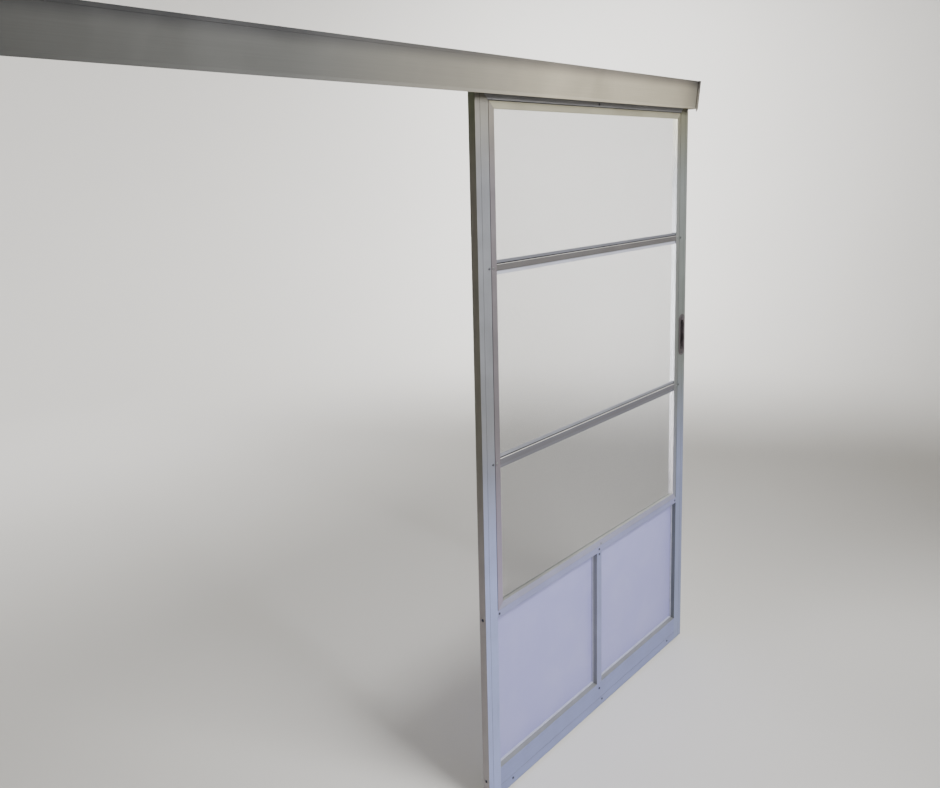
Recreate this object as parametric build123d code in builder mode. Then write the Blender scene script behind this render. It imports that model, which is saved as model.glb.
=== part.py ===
"""Top-hung sliding screen door with its header track, fascia, floor guide and keeper.

Millimetres. X runs along the wall, Y into the wall, Z up. The origin is on the wall, at the
middle of the header's row of fixing holes, straight above the left edge of the closed door.
"""
import os

from build123d import *

os.makedirs("parts", exist_ok=True)

# Door leaf
door_width = 1070.0
door_height = 2035.0
door_thickness = 25.0
frame_width = 48.5
frame_wall = 1.8
fin_reach = 8.0
fin_thickness = 2.0
reveal_inset = 17.5
reveal_width = 1.2
reveal_depth = 0.6
edge_round = 0.8
mitre_gap = 0.2

# Rails across the leaf, by height above the door's bottom edge
kick_rail_top = 574.0
kick_rail_height = 21.0
bottom_rail_height = 86.0
bottom_reveal_height = 30.0
mullion_width = 25.0
boss_radius = 4.0
boss_web = 2.0
bottom_boss_inset = 20.0

# Screen insert, a mitred frame that sits in the leaf above the kick rail
insert_gap = 2.0
insert_width = 20.5
insert_box_width = 12.5
insert_wall = 1.5
lip_depth = 9.0
groove_width = 3.5
groove_depth = 4.0
groove_inset = 3.0
screen_thickness = 0.5
screen_columns = 12
screen_strand = 3.0
spline_fit = 0.1
spline_stand = 1.2

# Crossbars of the insert, by the height of their middle above the door's bottom edge
crossbar_heights = {"lower": 1007.0, "upper": 1548.0}
crossbar_height = 39.0
rib_height = 17.0
rib_depth = 4.0

# Kick panels and their glazing bead
panel_thickness = 2.0
panel_gap = 0.5
bead_width = 2.5
bead_depth = 6.0
bead_round = 2.0

# Corner keys
frame_key_leg = 120.0
frame_key_thickness = 5.0
insert_key_leg = 60.0
key_fit = 0.2
plug_height = 12.0

# Where the leaf hangs, from the wall and from the header
wall_gap = 20.0
hang_gap = 12.0
floor_gap = 9.0

# Header: wall angle and C track
header_setback = 2.0
angle_height = 50.0
angle_depth = 56.0
angle_thickness = 3.0
track_width = 42.0
track_height = 45.0
track_wall = 2.5
track_slot = 12.0
wall_hole_radius = 3.25
header_screw_inset = 70.0
inner_hole_spacing = 700.0
track_screw_count = 6

# Fascia
fascia_projection = 71.0
fascia_drop = 98.0
fascia_thickness = 1.2
fascia_overhang_left = 5.0
fascia_overhang_right = 1.0
fascia_rake = 20.0
fascia_flange = 56.0
fascia_kick = 3.0
fascia_kick_height = 9.0
fascia_step = 1.0
fascia_step_height = 8.0
cap_flange = 12.0
cap_tail = 9.0
fascia_screw_count = 5

# Trolleys, one near each end of the leaf
trolley_inset = 120.0
trolley_length = 70.0
trolley_thickness = 10.0
trolley_drop = 9.0
trolley_rise = 8.0
trolley_boss_radius = 7.0
trolley_boss_wall = 2.0
wheel_radius = 12.0
wheel_width = 7.0
wheel_base = 40.0
wheel_lift = 0.3
wheel_margin = 1.5
wheel_dish = 1.0
wheel_ring = 2.5
axle_radius = 3.0
axle_clearance = 0.05
axle_head_radius = 4.5
axle_head_height = 1.2
side_play = 0.3
bolt_radius = 4.0
bolt_head_height = 5.0
bolt_tip = 3.0
nut_size = 13.0
nut_height = 5.0
plate_length = 70.0
plate_width = 22.0
plate_thickness = 4.0
plate_corner = 3.0
plate_screw_spacing = 50.0

# The end stops in the track, and how much of the leaf still covers the doorway when it is open
open_overlap = 70.0
stop_length = 30.0
stop_height = 22.0
stop_width = 30.0
stop_gap = 0.4
stop_round = 5.0
stop_screw_radius = 2.5
stop_washer_radius = 8.0
stop_washer_height = 2.5
stop_screw_depth = 14.0

# Small screws
screw_radius = 1.9
screw_head_radius = 3.6
screw_head_height = 1.6
screw_length = 9.0
screw_edge = 7.0
foot_screw_height = 19.0
foot_screw_inset = 100.0
foot_screw_offset = 15.0
hole_fit = 0.1
access_hole_radius = 4.5
frame_screw_length = 22.0
rivet_radius = 1.6
rivet_head_radius = 3.2
rivet_head_height = 0.9
rivet_mouth_radius = 1.1
rivet_tail = 2.5
foot_rivet_offset = 10.0

# Flush pull and latch
pull_rise = 184.0
pull_inset = 24.0
pull_width = 42.0
pull_length = 152.0
pull_flange = 1.5
pull_screw_spacing = 130.0
pocket_width = 22.0
pocket_length = 112.0
pocket_depth = 14.0
pocket_wall = 1.5
hook_drop = 41.0
hook_inset = 18.0
hook_thickness = 3.0
hook_back_gap = 4.4
hook_hub_radius = 9.0
hook_arm_width = 8.0
hook_reach = 26.0
hook_barb = 12.0
hook_barb_height = 6.0
hook_pin_radius = 2.5
hook_spacer_wall = 2.0
edge_slot_width = 5.0
edge_slot_rise = 26.0
edge_slot_drop = 16.0
lever_drop = 46.0
lever_width = 12.0
lever_length = 14.0
lever_recess = 1.0
lever_travel = 12.0
lever_gap = 0.3
lever_foot_thickness = 1.5
stem_width = 5.0
stem_length = 8.0
case_thickness = 1.2
case_width = 26.0
case_length = 76.0

# Keeper on the closing side
keeper_gap = 0.5
keeper_thickness = 2.0
keeper_length = 90.0
keeper_width = 20.0
keeper_slot_width = 7.0
keeper_slot_rise = 25.0
keeper_slot_drop = 4.0
keeper_hole_radius = 2.2
keeper_hole_spacing = 70.0

# Floor guide, a steel channel with a nylon pad each side of the leaf
guide_left = 5.0
guide_length = 40.0
guide_steel = 2.5
guide_fold = 2.0
guide_pad = 2.5
guide_clearance = 0.3
guide_screw_gap = 1.5
guide_hole_radius = 2.5
guide_hole_spacing = 24.0

# Levels and depths that follow from the sizes above
cut_margin = 1.0
track_top = angle_height / 2 - angle_thickness
track_bottom = track_top - track_height
door_top = track_bottom - hang_gap
door_bottom = door_top - door_height
floor_level = door_bottom - floor_gap
door_back = -wall_gap
door_front = door_back - door_thickness
door_middle = (door_front + door_back) / 2
fin_front = door_back - fin_thickness
header_left = -door_width
header_right = door_width - header_setback
fascia_left = header_left - fascia_overhang_left
fascia_right = door_width + fascia_overhang_right
travel = door_width - open_overlap
header_screw_run = 2 * (door_width - header_screw_inset)
wall_hole_spacings = (header_screw_run, inner_hole_spacing)
track_screw_spacing = header_screw_run / (track_screw_count - 1)
fascia_screw_spacing = header_screw_run / (fascia_screw_count - 1)
pull_height = crossbar_heights["lower"] + pull_rise
hook_height = pull_height - hook_drop
lever_height = pull_height - lever_drop
kick_rail_bottom = kick_rail_top - kick_rail_height
mullion_left = (door_width - mullion_width) / 2
mullion_right = mullion_left + mullion_width


def level(height):
    """Z of a height that is measured above the door's bottom edge."""
    return door_bottom + height


def facing(y):
    """Sketch plane at depth y that faces the viewer; a positive extrude comes forwards."""
    return Plane.XZ.offset(-y)


def save(builder, name):
    """Label a finished piece and write it to its own file."""
    builder.part.label = name
    export_step(builder.part, f"parts/{name}.step")


def box_between(low, high, mode=Mode.ADD):
    """Add or cut a block given by two corners."""
    middle = tuple((a + b) / 2 for a, b in zip(low, high))
    with Locations(middle):
        Box(high[0] - low[0], high[1] - low[1], high[2] - low[2], mode=mode)


def strip(spot, inwards, deep, mode=Mode.ADD):
    """Draw a rectangle of a section. spot turns (inwards, depth) into sketch coordinates."""
    corners = [(inwards[0], deep[0]), (inwards[1], deep[0]), (inwards[1], deep[1]), (inwards[0], deep[1])]
    Polygon(*[spot(*corner) for corner in corners], align=None, mode=mode)


def upright_spot(edge, inward):
    """Section coordinates of an upright member, seen in plan."""
    return lambda inwards, deep: (edge + inward * inwards, door_front + deep)


def level_spot(edge, inward):
    """Section coordinates of a level member, seen from its end."""
    return lambda inwards, deep: (door_front + deep, edge + inward * inwards)


def mitre(corner, inward, reach, upright):
    """Cut the active member along the 45 degree line that runs inwards from a corner."""
    back_x = inward[0] * mitre_gap if upright else 0
    back_z = 0 if upright else inward[1] * mitre_gap
    tip = (corner[0] - inward[0] * cut_margin - back_x, corner[1] - inward[1] * cut_margin - back_z)
    far = (corner[0] + inward[0] * reach - back_x, corner[1] + inward[1] * reach - back_z)
    side = (far[0], tip[1]) if upright else (tip[0], far[1])
    with BuildSketch(facing(0)) as waste:
        Polygon(tip, side, far, align=None)
    extrude(waste.sketch, amount=door_thickness + wall_gap + cut_margin, mode=Mode.SUBTRACT)


# Frame section of the stiles and the top rail: a hollow tube with a thin fin at the back of its
# inner side, and one shallow reveal line in the front face
frame_reach = frame_width + fin_reach
rebate = door_thickness - fin_thickness


def frame_section(spot):
    """Draw the frame section in the active sketch."""
    strip(spot, (0, frame_width), (0, door_thickness))
    strip(spot, (frame_width, frame_reach), (rebate, door_thickness))
    hollow = (frame_wall, frame_width - frame_wall)
    strip(spot, hollow, (frame_wall, door_thickness - frame_wall), Mode.SUBTRACT)
    strip(spot, (reveal_inset, reveal_inset + reveal_width), (0, reveal_depth), Mode.SUBTRACT)


# Screw places on the front face: distance from the leaf's left edge, height above its bottom
stile_screw_inset = frame_width - screw_edge
rail_screw_inset = frame_width + screw_edge
kick_rail_middle = kick_rail_top - kick_rail_height / 2
face_screw_spots = [
    (stile_screw_inset, crossbar_heights["upper"]),
    (door_width - stile_screw_inset, crossbar_heights["upper"]),
    (stile_screw_inset, crossbar_heights["lower"]),
    (door_width - stile_screw_inset, crossbar_heights["lower"]),
    (rail_screw_inset, kick_rail_middle),
    (door_width - rail_screw_inset, kick_rail_middle),
    (door_width / 2, kick_rail_middle),
    (door_width / 2, kick_rail_bottom - screw_edge),
    (door_width / 2, bottom_rail_height - bottom_boss_inset),
    (door_width / 2 + foot_screw_offset, foot_screw_height),
    (foot_screw_inset, foot_screw_height),
    (door_width - foot_screw_inset, foot_screw_height),
    (door_width / 2, door_height - frame_width + screw_edge),
]


def drill_face_screws():
    """Cut the front-face screw holes that fall on the active piece."""
    with BuildSketch(facing(door_front + screw_length + cut_margin)) as holes:
        with Locations(*[(x, level(z)) for x, z in face_screw_spots]):
            Circle(screw_radius + hole_fit)
    extrude(holes.sketch, amount=screw_length + 2 * cut_margin, mode=Mode.SUBTRACT)


# Heights of the level screws that hold the rails between the stiles
frame_screw_heights = [kick_rail_middle, bottom_boss_inset, bottom_rail_height - bottom_boss_inset]


def drill_frame_screws(inner_wall, outer_wall):
    """Cut the level screw holes in a stile's inner wall and the access holes in its edge."""
    for wall, radius in ((inner_wall, screw_radius + hole_fit), (outer_wall, access_hole_radius)):
        with BuildSketch(Plane.YZ.offset(wall - frame_wall)) as holes:
            with Locations(*[(door_middle, level(z)) for z in frame_screw_heights]):
                Circle(radius)
        extrude(holes.sketch, amount=2 * frame_wall, mode=Mode.SUBTRACT)


def cope_stile_fin(low_x, high_x):
    """Cut a stile's fin away where the rails and their fins meet the stile."""
    for low, high in (
        (-cut_margin, bottom_rail_height + fin_reach),
        (kick_rail_bottom - fin_reach, kick_rail_top + fin_reach),
    ):
        box_between((low_x, fin_front, level(low)), (high_x, door_back, level(high)), Mode.SUBTRACT)


# Stiles: mitred at the top, square at the bottom
with BuildPart() as stile_left:
    with BuildSketch(Plane.XY.offset(door_bottom)):
        frame_section(upright_spot(0, 1))
    extrude(amount=door_height)
    fillet(stile_left.edges().filter_by(Axis.Z).group_by(Axis.X)[0], edge_round)
    mitre((0, door_top), (1, -1), frame_reach + cut_margin, upright=True)
    cope_stile_fin(frame_width, frame_reach + cut_margin)
    drill_face_screws()
    drill_frame_screws(frame_width - frame_wall / 2, frame_wall / 2)

pull_centre = (door_width - pull_inset, level(pull_height))
hook_pivot = (door_width - hook_inset, level(hook_height))
hook_back = door_back - hook_back_gap
hook_front = hook_back - hook_thickness
hook_middle = (hook_front + hook_back) / 2

with BuildPart() as stile_right:
    with BuildSketch(Plane.XY.offset(door_bottom)):
        frame_section(upright_spot(door_width, -1))
    extrude(amount=door_height)
    fillet(stile_right.edges().filter_by(Axis.Z).group_by(Axis.X)[-1], edge_round)
    mitre((door_width, door_top), (-1, -1), frame_reach + cut_margin, upright=True)
    cope_stile_fin(door_width - frame_reach - cut_margin, door_width - frame_width)
    drill_face_screws()
    drill_frame_screws(door_width - frame_width + frame_wall / 2, door_width - frame_wall / 2)
    with BuildSketch(facing(door_front + frame_wall + cut_margin)):
        with Locations(pull_centre):
            SlotOverall(
                pocket_length + 2 * (pocket_wall + hole_fit),
                pocket_width + 2 * (pocket_wall + hole_fit),
                rotation=90,
            )
        with Locations(pull_centre), GridLocations(0, pull_screw_spacing, 1, 2):
            Circle(screw_radius + hole_fit)
    extrude(amount=frame_wall + 2 * cut_margin, mode=Mode.SUBTRACT)
    box_between(
        (
            door_width - frame_wall - cut_margin,
            hook_middle - edge_slot_width / 2,
            hook_pivot[1] - edge_slot_drop,
        ),
        (door_width + cut_margin, hook_middle + edge_slot_width / 2, hook_pivot[1] + edge_slot_rise),
        Mode.SUBTRACT,
    )

# Top rail, mitred to both stiles, with holes in its top for the two hanger plates
trolley_places = {"left": trolley_inset, "right": door_width - trolley_inset}

with BuildPart() as top_rail:
    with BuildSketch(Plane.YZ):
        frame_section(level_spot(door_top, -1))
    extrude(amount=door_width)
    fillet(top_rail.edges().filter_by(Axis.X).group_by(Axis.Z)[-1], edge_round)
    mitre((0, door_top), (1, -1), frame_reach + cut_margin, upright=False)
    mitre((door_width, door_top), (-1, -1), frame_reach + cut_margin, upright=False)
    drill_face_screws()
    with BuildSketch(Plane.XY.offset(door_top - frame_wall - cut_margin)):
        for place in trolley_places.values():
            with Locations((place, door_middle)):
                Circle(bolt_radius + hole_fit)
            with Locations((place, door_middle)), GridLocations(plate_screw_spacing, 0, 2, 1):
                Circle(screw_radius + hole_fit)
    extrude(amount=frame_wall + 2 * cut_margin, mode=Mode.SUBTRACT)


def rail_section(low, high, boss_heights, fins):
    """Draw a level rail's section: a tube with bosses for end screws and fins at the back."""
    spot = level_spot(level(0), 1)
    strip(spot, (low, high), (0, door_thickness))
    hollow = (low + frame_wall, high - frame_wall)
    strip(spot, hollow, (frame_wall, door_thickness - frame_wall), Mode.SUBTRACT)
    for boss in boss_heights:
        strip(spot, (boss - boss_web / 2, boss + boss_web / 2), (frame_wall / 2, door_thickness / 2))
        with Locations((door_middle, level(boss))):
            Circle(boss_radius)
        with Locations((door_middle, level(boss))):
            Circle(screw_radius + hole_fit, mode=Mode.SUBTRACT)
    for fin_low, fin_high in fins:
        strip(spot, (fin_low, fin_high), (rebate, door_thickness))


with BuildPart() as kick_rail:
    with BuildSketch(Plane.YZ.offset(frame_width)):
        rail_section(
            kick_rail_bottom,
            kick_rail_top,
            [kick_rail_middle],
            [(kick_rail_bottom - fin_reach, kick_rail_bottom), (kick_rail_top, kick_rail_top + fin_reach)],
        )
    extrude(amount=door_width - 2 * frame_width)
    box_between(
        (mullion_left, fin_front, level(kick_rail_bottom - fin_reach)),
        (mullion_right, door_back, level(kick_rail_bottom)),
        Mode.SUBTRACT,
    )
    drill_face_screws()

with BuildPart() as bottom_rail:
    with BuildSketch(Plane.YZ.offset(frame_width)):
        rail_section(
            0,
            bottom_rail_height,
            [bottom_boss_inset, bottom_rail_height - bottom_boss_inset],
            [(bottom_rail_height, bottom_rail_height + fin_reach)],
        )
        strip(
            level_spot(level(0), 1),
            (bottom_reveal_height - reveal_width / 2, bottom_reveal_height + reveal_width / 2),
            (0, reveal_depth),
            Mode.SUBTRACT,
        )
    extrude(amount=door_width - 2 * frame_width)
    fillet(bottom_rail.edges().filter_by(Axis.X).group_by(Axis.Z)[0], edge_round)
    box_between(
        (mullion_left, fin_front, level(bottom_rail_height)),
        (mullion_right, door_back, level(bottom_rail_height + fin_reach)),
        Mode.SUBTRACT,
    )
    drill_face_screws()

# Kick mullion, a square tube with a fin each side, between the two rails
with BuildPart() as kick_mullion:
    with BuildSketch(Plane.XY.offset(level(bottom_rail_height))):
        mullion_spot = upright_spot(mullion_left, 1)
        strip(mullion_spot, (0, mullion_width), (0, door_thickness))
        strip(mullion_spot, (-fin_reach, mullion_width + fin_reach), (rebate, door_thickness))
        strip(
            mullion_spot,
            (frame_wall, mullion_width - frame_wall),
            (frame_wall, door_thickness - frame_wall),
            Mode.SUBTRACT,
        )
    extrude(amount=kick_rail_bottom - bottom_rail_height)
    for fin_x in (mullion_left - fin_reach, mullion_right):
        for fin_z in (bottom_rail_height, kick_rail_bottom - fin_reach):
            box_between(
                (fin_x, fin_front, level(fin_z)),
                (fin_x + fin_reach, door_back, level(fin_z + fin_reach)),
                Mode.SUBTRACT,
            )
    drill_face_screws()

# Corner keys inside the two mitres at the top, flat against the front wall of the tubes
with BuildPart() as corner_keys:
    key_width = frame_width - 2 * (frame_wall + key_fit)
    with BuildSketch(facing(door_front + frame_wall + frame_key_thickness)):
        for edge, inward in ((0, 1), (door_width, -1)):
            outer_x = edge + inward * (frame_wall + key_fit)
            inner_x = outer_x + inward * key_width
            far_x = outer_x + inward * frame_key_leg
            outer_z = door_top - frame_wall - key_fit
            inner_z = outer_z - key_width
            far_z = outer_z - frame_key_leg
            Polygon(
                (outer_x, outer_z),
                (far_x, outer_z),
                (far_x, inner_z),
                (inner_x, inner_z),
                (inner_x, far_z),
                (outer_x, far_z),
                align=None,
            )
    extrude(amount=frame_key_thickness)

# Level screws from inside the stiles into the rails' bosses
with BuildPart() as frame_screws:
    for wall_face, inward in ((frame_width - frame_wall, 1), (door_width - frame_width + frame_wall, -1)):
        with BuildSketch(Plane.YZ.offset(wall_face)):
            with Locations(*[(door_middle, level(z)) for z in frame_screw_heights]):
                Circle(screw_radius)
        extrude(amount=inward * frame_screw_length)
        with BuildSketch(Plane.YZ.offset(wall_face)):
            with Locations(*[(door_middle, level(z)) for z in frame_screw_heights]):
                Circle(screw_head_radius)
        extrude(amount=-inward * screw_head_height)

# Plastic plugs in the open feet of the stiles
with BuildPart() as stile_plugs:
    with BuildSketch(Plane.XY.offset(door_bottom)):
        for middle_x in (frame_width / 2, door_width - frame_width / 2):
            with Locations((middle_x, door_middle)):
                Rectangle(
                    frame_width - 2 * (frame_wall + hole_fit),
                    door_thickness - 2 * (frame_wall + hole_fit),
                )
    extrude(amount=plug_height)
    chamfer(stile_plugs.faces().sort_by(Axis.Z)[0].edges(), edge_round)

# Screws that show on the front of the leaf
with BuildPart() as face_screws:
    with BuildSketch(facing(door_front + screw_length)):
        with Locations(*[(x, level(z)) for x, z in face_screw_spots]):
            Circle(screw_radius)
    extrude(amount=screw_length)
    with BuildSketch(facing(door_front)):
        with Locations(*[(x, level(z)) for x, z in face_screw_spots]):
            Circle(screw_head_radius)
    extrude(amount=screw_head_height)
    fillet(face_screws.edges().filter_by(GeomType.CIRCLE).group_by(Axis.Y)[0], screw_head_height / 2)

for name, builder in (
    ("stile_left", stile_left),
    ("stile_right", stile_right),
    ("top_rail", top_rail),
    ("kick_rail", kick_rail),
    ("bottom_rail", bottom_rail),
    ("kick_mullion", kick_mullion),
    ("corner_keys", corner_keys),
    ("frame_screws", frame_screws),
    ("stile_plugs", stile_plugs),
    ("face_screws", face_screws),
):
    save(builder, name)

# Screen insert. Its section is a tube beside the leaf's frame and a lip towards the opening; the
# back of the lip has the groove that holds the screen's spline.
insert_left_x = frame_width + insert_gap
insert_right_x = door_width - insert_left_x
insert_low = kick_rail_top
insert_high = door_height - frame_width - insert_gap
opening_left = insert_left_x + insert_width
opening_right = insert_right_x - insert_width
groove_far = groove_inset + groove_width
half_bar = crossbar_height / 2


def insert_section(spot):
    """Draw the insert's section in the active sketch."""
    strip(spot, (0, insert_box_width), (0, rebate))
    strip(spot, (insert_box_width, insert_width), (0, lip_depth))
    hollow = (insert_wall, insert_box_width - insert_wall)
    strip(spot, hollow, (insert_wall, rebate - insert_wall), Mode.SUBTRACT)
    groove = (insert_width - groove_far, insert_width - groove_inset)
    strip(spot, groove, (lip_depth - groove_depth, lip_depth), Mode.SUBTRACT)


def let_splines_through(lip_low_x, lip_high_x):
    """Carry the crossbars' spline grooves across an upright member's lip."""
    for height in crossbar_heights.values():
        for away in (-1, 1):
            near = level(height) + away * (half_bar - groove_far)
            far = level(height) + away * (half_bar - groove_inset)
            box_between(
                (lip_low_x, door_front + lip_depth - groove_depth, min(near, far)),
                (lip_high_x, door_front + lip_depth, max(near, far)),
                Mode.SUBTRACT,
            )


# Rivets through the front wall of the insert's tube, at the ends of the crossbars and at its foot
rivet_inset = insert_gap + insert_box_width / 2
rivet_spots = [
    (edge + inward * (frame_width + rivet_inset), height)
    for edge, inward in ((0, 1), (door_width, -1))
    for height in crossbar_heights.values()
]
rivet_spots.append((door_width / 2 + foot_rivet_offset, kick_rail_top + insert_box_width / 2))


def drill_rivets():
    """Cut the rivet holes that fall on the active insert member."""
    with BuildSketch(facing(door_front + insert_wall + cut_margin)) as holes:
        with Locations(*[(x, level(z)) for x, z in rivet_spots]):
            Circle(rivet_radius + hole_fit)
    extrude(holes.sketch, amount=insert_wall + 2 * cut_margin, mode=Mode.SUBTRACT)


insert_corners = {
    ("left", "low"): ((insert_left_x, level(insert_low)), (1, 1)),
    ("left", "high"): ((insert_left_x, level(insert_high)), (1, -1)),
    ("right", "low"): ((insert_right_x, level(insert_low)), (-1, 1)),
    ("right", "high"): ((insert_right_x, level(insert_high)), (-1, -1)),
}
insert_reach = insert_width + cut_margin

for side, edge, inward in (("left", insert_left_x, 1), ("right", insert_right_x, -1)):
    with BuildPart() as insert_side:
        with BuildSketch(Plane.XY.offset(level(insert_low))):
            insert_section(upright_spot(edge, inward))
        extrude(amount=insert_high - insert_low)
        front_edges = insert_side.edges().filter_by(Axis.Z).group_by(Axis.Y)[0]
        fillet(front_edges, edge_round)
        for end in ("low", "high"):
            mitre(*insert_corners[side, end], insert_reach, upright=True)
        lip_edge = opening_left if side == "left" else opening_right
        lip_inner = lip_edge - inward * groove_inset
        let_splines_through(min(lip_edge, lip_inner), max(lip_edge, lip_inner))
        drill_rivets()
    save(insert_side, f"insert_{side}")

for end, edge, inward in (("bottom", insert_low, 1), ("top", insert_high, -1)):
    corner_end = "low" if end == "bottom" else "high"
    with BuildPart() as insert_level:
        with BuildSketch(Plane.YZ.offset(insert_left_x)):
            insert_section(level_spot(level(edge), inward))
        extrude(amount=insert_right_x - insert_left_x)
        fillet(insert_level.edges().filter_by(Axis.X).group_by(Axis.Y)[0], edge_round)
        for side in ("left", "right"):
            mitre(*insert_corners[side, corner_end], insert_reach, upright=False)
        drill_rivets()
    save(insert_level, f"insert_{end}")

with BuildPart() as insert_rivets:
    with BuildSketch(facing(door_front + insert_wall + rivet_tail)):
        with Locations(*[(x, level(z)) for x, z in rivet_spots]):
            Circle(rivet_radius)
    extrude(amount=insert_wall + rivet_tail)
    with BuildSketch(facing(door_front)):
        with Locations(*[(x, level(z)) for x, z in rivet_spots]):
            Circle(rivet_head_radius)
    extrude(amount=rivet_head_height)
    with BuildSketch(facing(door_front)):
        with Locations(*[(x, level(z)) for x, z in rivet_spots]):
            Circle(rivet_mouth_radius)
    extrude(amount=rivet_head_height + cut_margin, mode=Mode.SUBTRACT)
save(insert_rivets, "insert_rivets")

# Keys in the insert's four corners, which fill its tube apart from a small fit
with BuildPart() as insert_keys:
    key_inset = insert_wall + key_fit
    key_width = insert_box_width - 2 * key_inset
    with BuildSketch(facing(door_front + rebate - key_inset)):
        for (corner_x, corner_z), (inward_x, inward_z) in insert_corners.values():
            outer = (corner_x + inward_x * key_inset, corner_z + inward_z * key_inset)
            inner = (outer[0] + inward_x * key_width, outer[1] + inward_z * key_width)
            far = (outer[0] + inward_x * insert_key_leg, outer[1] + inward_z * insert_key_leg)
            level_leg = [(far[0], outer[1]), (far[0], inner[1])]
            upright_leg = [(inner[0], far[1]), (outer[0], far[1])]
            Polygon(outer, *level_leg, inner, *upright_leg, align=None)
    extrude(amount=rebate - 2 * key_inset)
save(insert_keys, "insert_keys")

# Crossbars: a front rib, a flange with a spline groove above and below, and a tube behind
for name, height in crossbar_heights.items():
    with BuildPart() as crossbar:
        crossbar_spot = level_spot(level(height), 1)
        half_rib = rib_height / 2
        with BuildSketch(Plane.YZ.offset(opening_left)):
            strip(crossbar_spot, (-half_rib, half_rib), (0, lip_depth))
            strip(crossbar_spot, (-half_bar, half_bar), (rib_depth, lip_depth))
            for away in (-1, 1):
                groove = (away * (half_bar - groove_far), away * (half_bar - groove_inset))
                strip(crossbar_spot, groove, (lip_depth - groove_depth, lip_depth), Mode.SUBTRACT)
        extrude(amount=opening_right - opening_left)
        fillet(crossbar.edges().filter_by(Axis.X).group_by(Axis.Y)[0], edge_round)
        with BuildSketch(Plane.YZ.offset(insert_left_x + insert_box_width)):
            strip(crossbar_spot, (-half_rib, half_rib), (lip_depth, rebate))
            strip(
                crossbar_spot,
                (insert_wall - half_rib, half_rib - insert_wall),
                (lip_depth + insert_wall, rebate - insert_wall),
                Mode.SUBTRACT,
            )
        extrude(amount=insert_right_x - insert_left_x - 2 * insert_box_width)
    save(crossbar, f"crossbar_{name}")

# Insect screens, one for each opening of the insert, and the splines that hold them. A plain grid
# of strands stands in for the fine cloth.
pane_edges = {
    "lower": (insert_low + insert_width, crossbar_heights["lower"] - half_bar),
    "middle": (crossbar_heights["lower"] + half_bar, crossbar_heights["upper"] - half_bar),
    "upper": (crossbar_heights["upper"] + half_bar, insert_high - insert_width),
}
opening_width = opening_right - opening_left
screen_front = door_front + lip_depth
column_pitch = opening_width / screen_columns

for name, (low, high) in pane_edges.items():
    rows = round((high - low) / column_pitch)
    row_pitch = (high - low) / rows
    with BuildPart() as screen:
        with BuildSketch(facing(screen_front + screen_thickness)):
            with Locations((door_width / 2, level((low + high) / 2))):
                Rectangle(opening_width + 2 * groove_inset, high - low + 2 * groove_inset)
                with GridLocations(column_pitch, row_pitch, screen_columns, rows):
                    Rectangle(column_pitch - screen_strand, row_pitch - screen_strand, mode=Mode.SUBTRACT)
        extrude(amount=screen_thickness)
    save(screen, f"screen_{name}")

with BuildPart() as splines:
    outer_grow = 2 * (groove_far - spline_fit)
    inner_grow = 2 * (groove_inset + spline_fit)
    with BuildSketch(facing(screen_front + screen_thickness + spline_stand)):
        for low, high in pane_edges.values():
            with Locations((door_width / 2, level((low + high) / 2))):
                Rectangle(opening_width + outer_grow, high - low + outer_grow)
                Rectangle(opening_width + inner_grow, high - low + inner_grow, mode=Mode.SUBTRACT)
    extrude(amount=groove_depth + screen_thickness + spline_stand)
save(splines, "splines")

# Kick panels against the fins, each with a bead around it in front
panel_front = fin_front - panel_thickness

kick_bays = {"left": (frame_width, mullion_left), "right": (mullion_right, door_width - frame_width)}

for side, (low_x, high_x) in kick_bays.items():
    panel_middle = ((low_x + high_x) / 2, level((bottom_rail_height + kick_rail_bottom) / 2))
    bay_width = high_x - low_x
    bay_height = kick_rail_bottom - bottom_rail_height
    with BuildPart() as kick_panel:
        with BuildSketch(facing(fin_front)):
            with Locations(panel_middle):
                Rectangle(bay_width - 2 * panel_gap, bay_height - 2 * panel_gap)
        extrude(amount=panel_thickness)
    save(kick_panel, f"kick_panel_{side}")

    with BuildPart() as kick_bead:
        with BuildSketch(facing(panel_front)):
            with Locations(panel_middle):
                Rectangle(bay_width - 2 * hole_fit, bay_height - 2 * hole_fit)
                Rectangle(bay_width - 2 * bead_width, bay_height - 2 * bead_width, mode=Mode.SUBTRACT)
        extrude(amount=bead_depth)
        front_face = kick_bead.faces().sort_by(Axis.Y)[0]
        fillet(front_face.inner_wires()[0].edges(), bead_round)
    save(kick_bead, f"kick_bead_{side}")

# Header angle: one leg on the wall, the other over the track
with BuildPart() as header_angle:
    with BuildSketch(Plane.YZ.offset(header_left)):
        with BuildLine():
            Polyline(
                (0, angle_height / 2),
                (-angle_depth, angle_height / 2),
                (-angle_depth, track_top),
                (-angle_thickness, track_top),
                (-angle_thickness, -angle_height / 2),
                (0, -angle_height / 2),
                close=True,
            )
        make_face()
    extrude(amount=header_right - header_left)
    for spacing in wall_hole_spacings:
        with BuildSketch(facing(cut_margin)):
            with GridLocations(spacing, 0, 2, 1):
                Circle(wall_hole_radius)
        extrude(amount=angle_thickness + 2 * cut_margin, mode=Mode.SUBTRACT)
    with BuildSketch(Plane.XY.offset(track_top - cut_margin)):
        with Locations((0, door_middle)), GridLocations(track_screw_spacing, 0, track_screw_count, 1):
            Circle(screw_radius + hole_fit)
        with Locations((0, door_front)), GridLocations(fascia_screw_spacing, 0, fascia_screw_count, 1):
            Circle(screw_radius + hole_fit)
    extrude(amount=angle_thickness + 2 * cut_margin, mode=Mode.SUBTRACT)
save(header_angle, "header_angle")

# Track: a C section whose two lower flanges carry the wheels
track_front = door_middle - track_width / 2
track_back = door_middle + track_width / 2
ledge = track_bottom + track_wall

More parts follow.
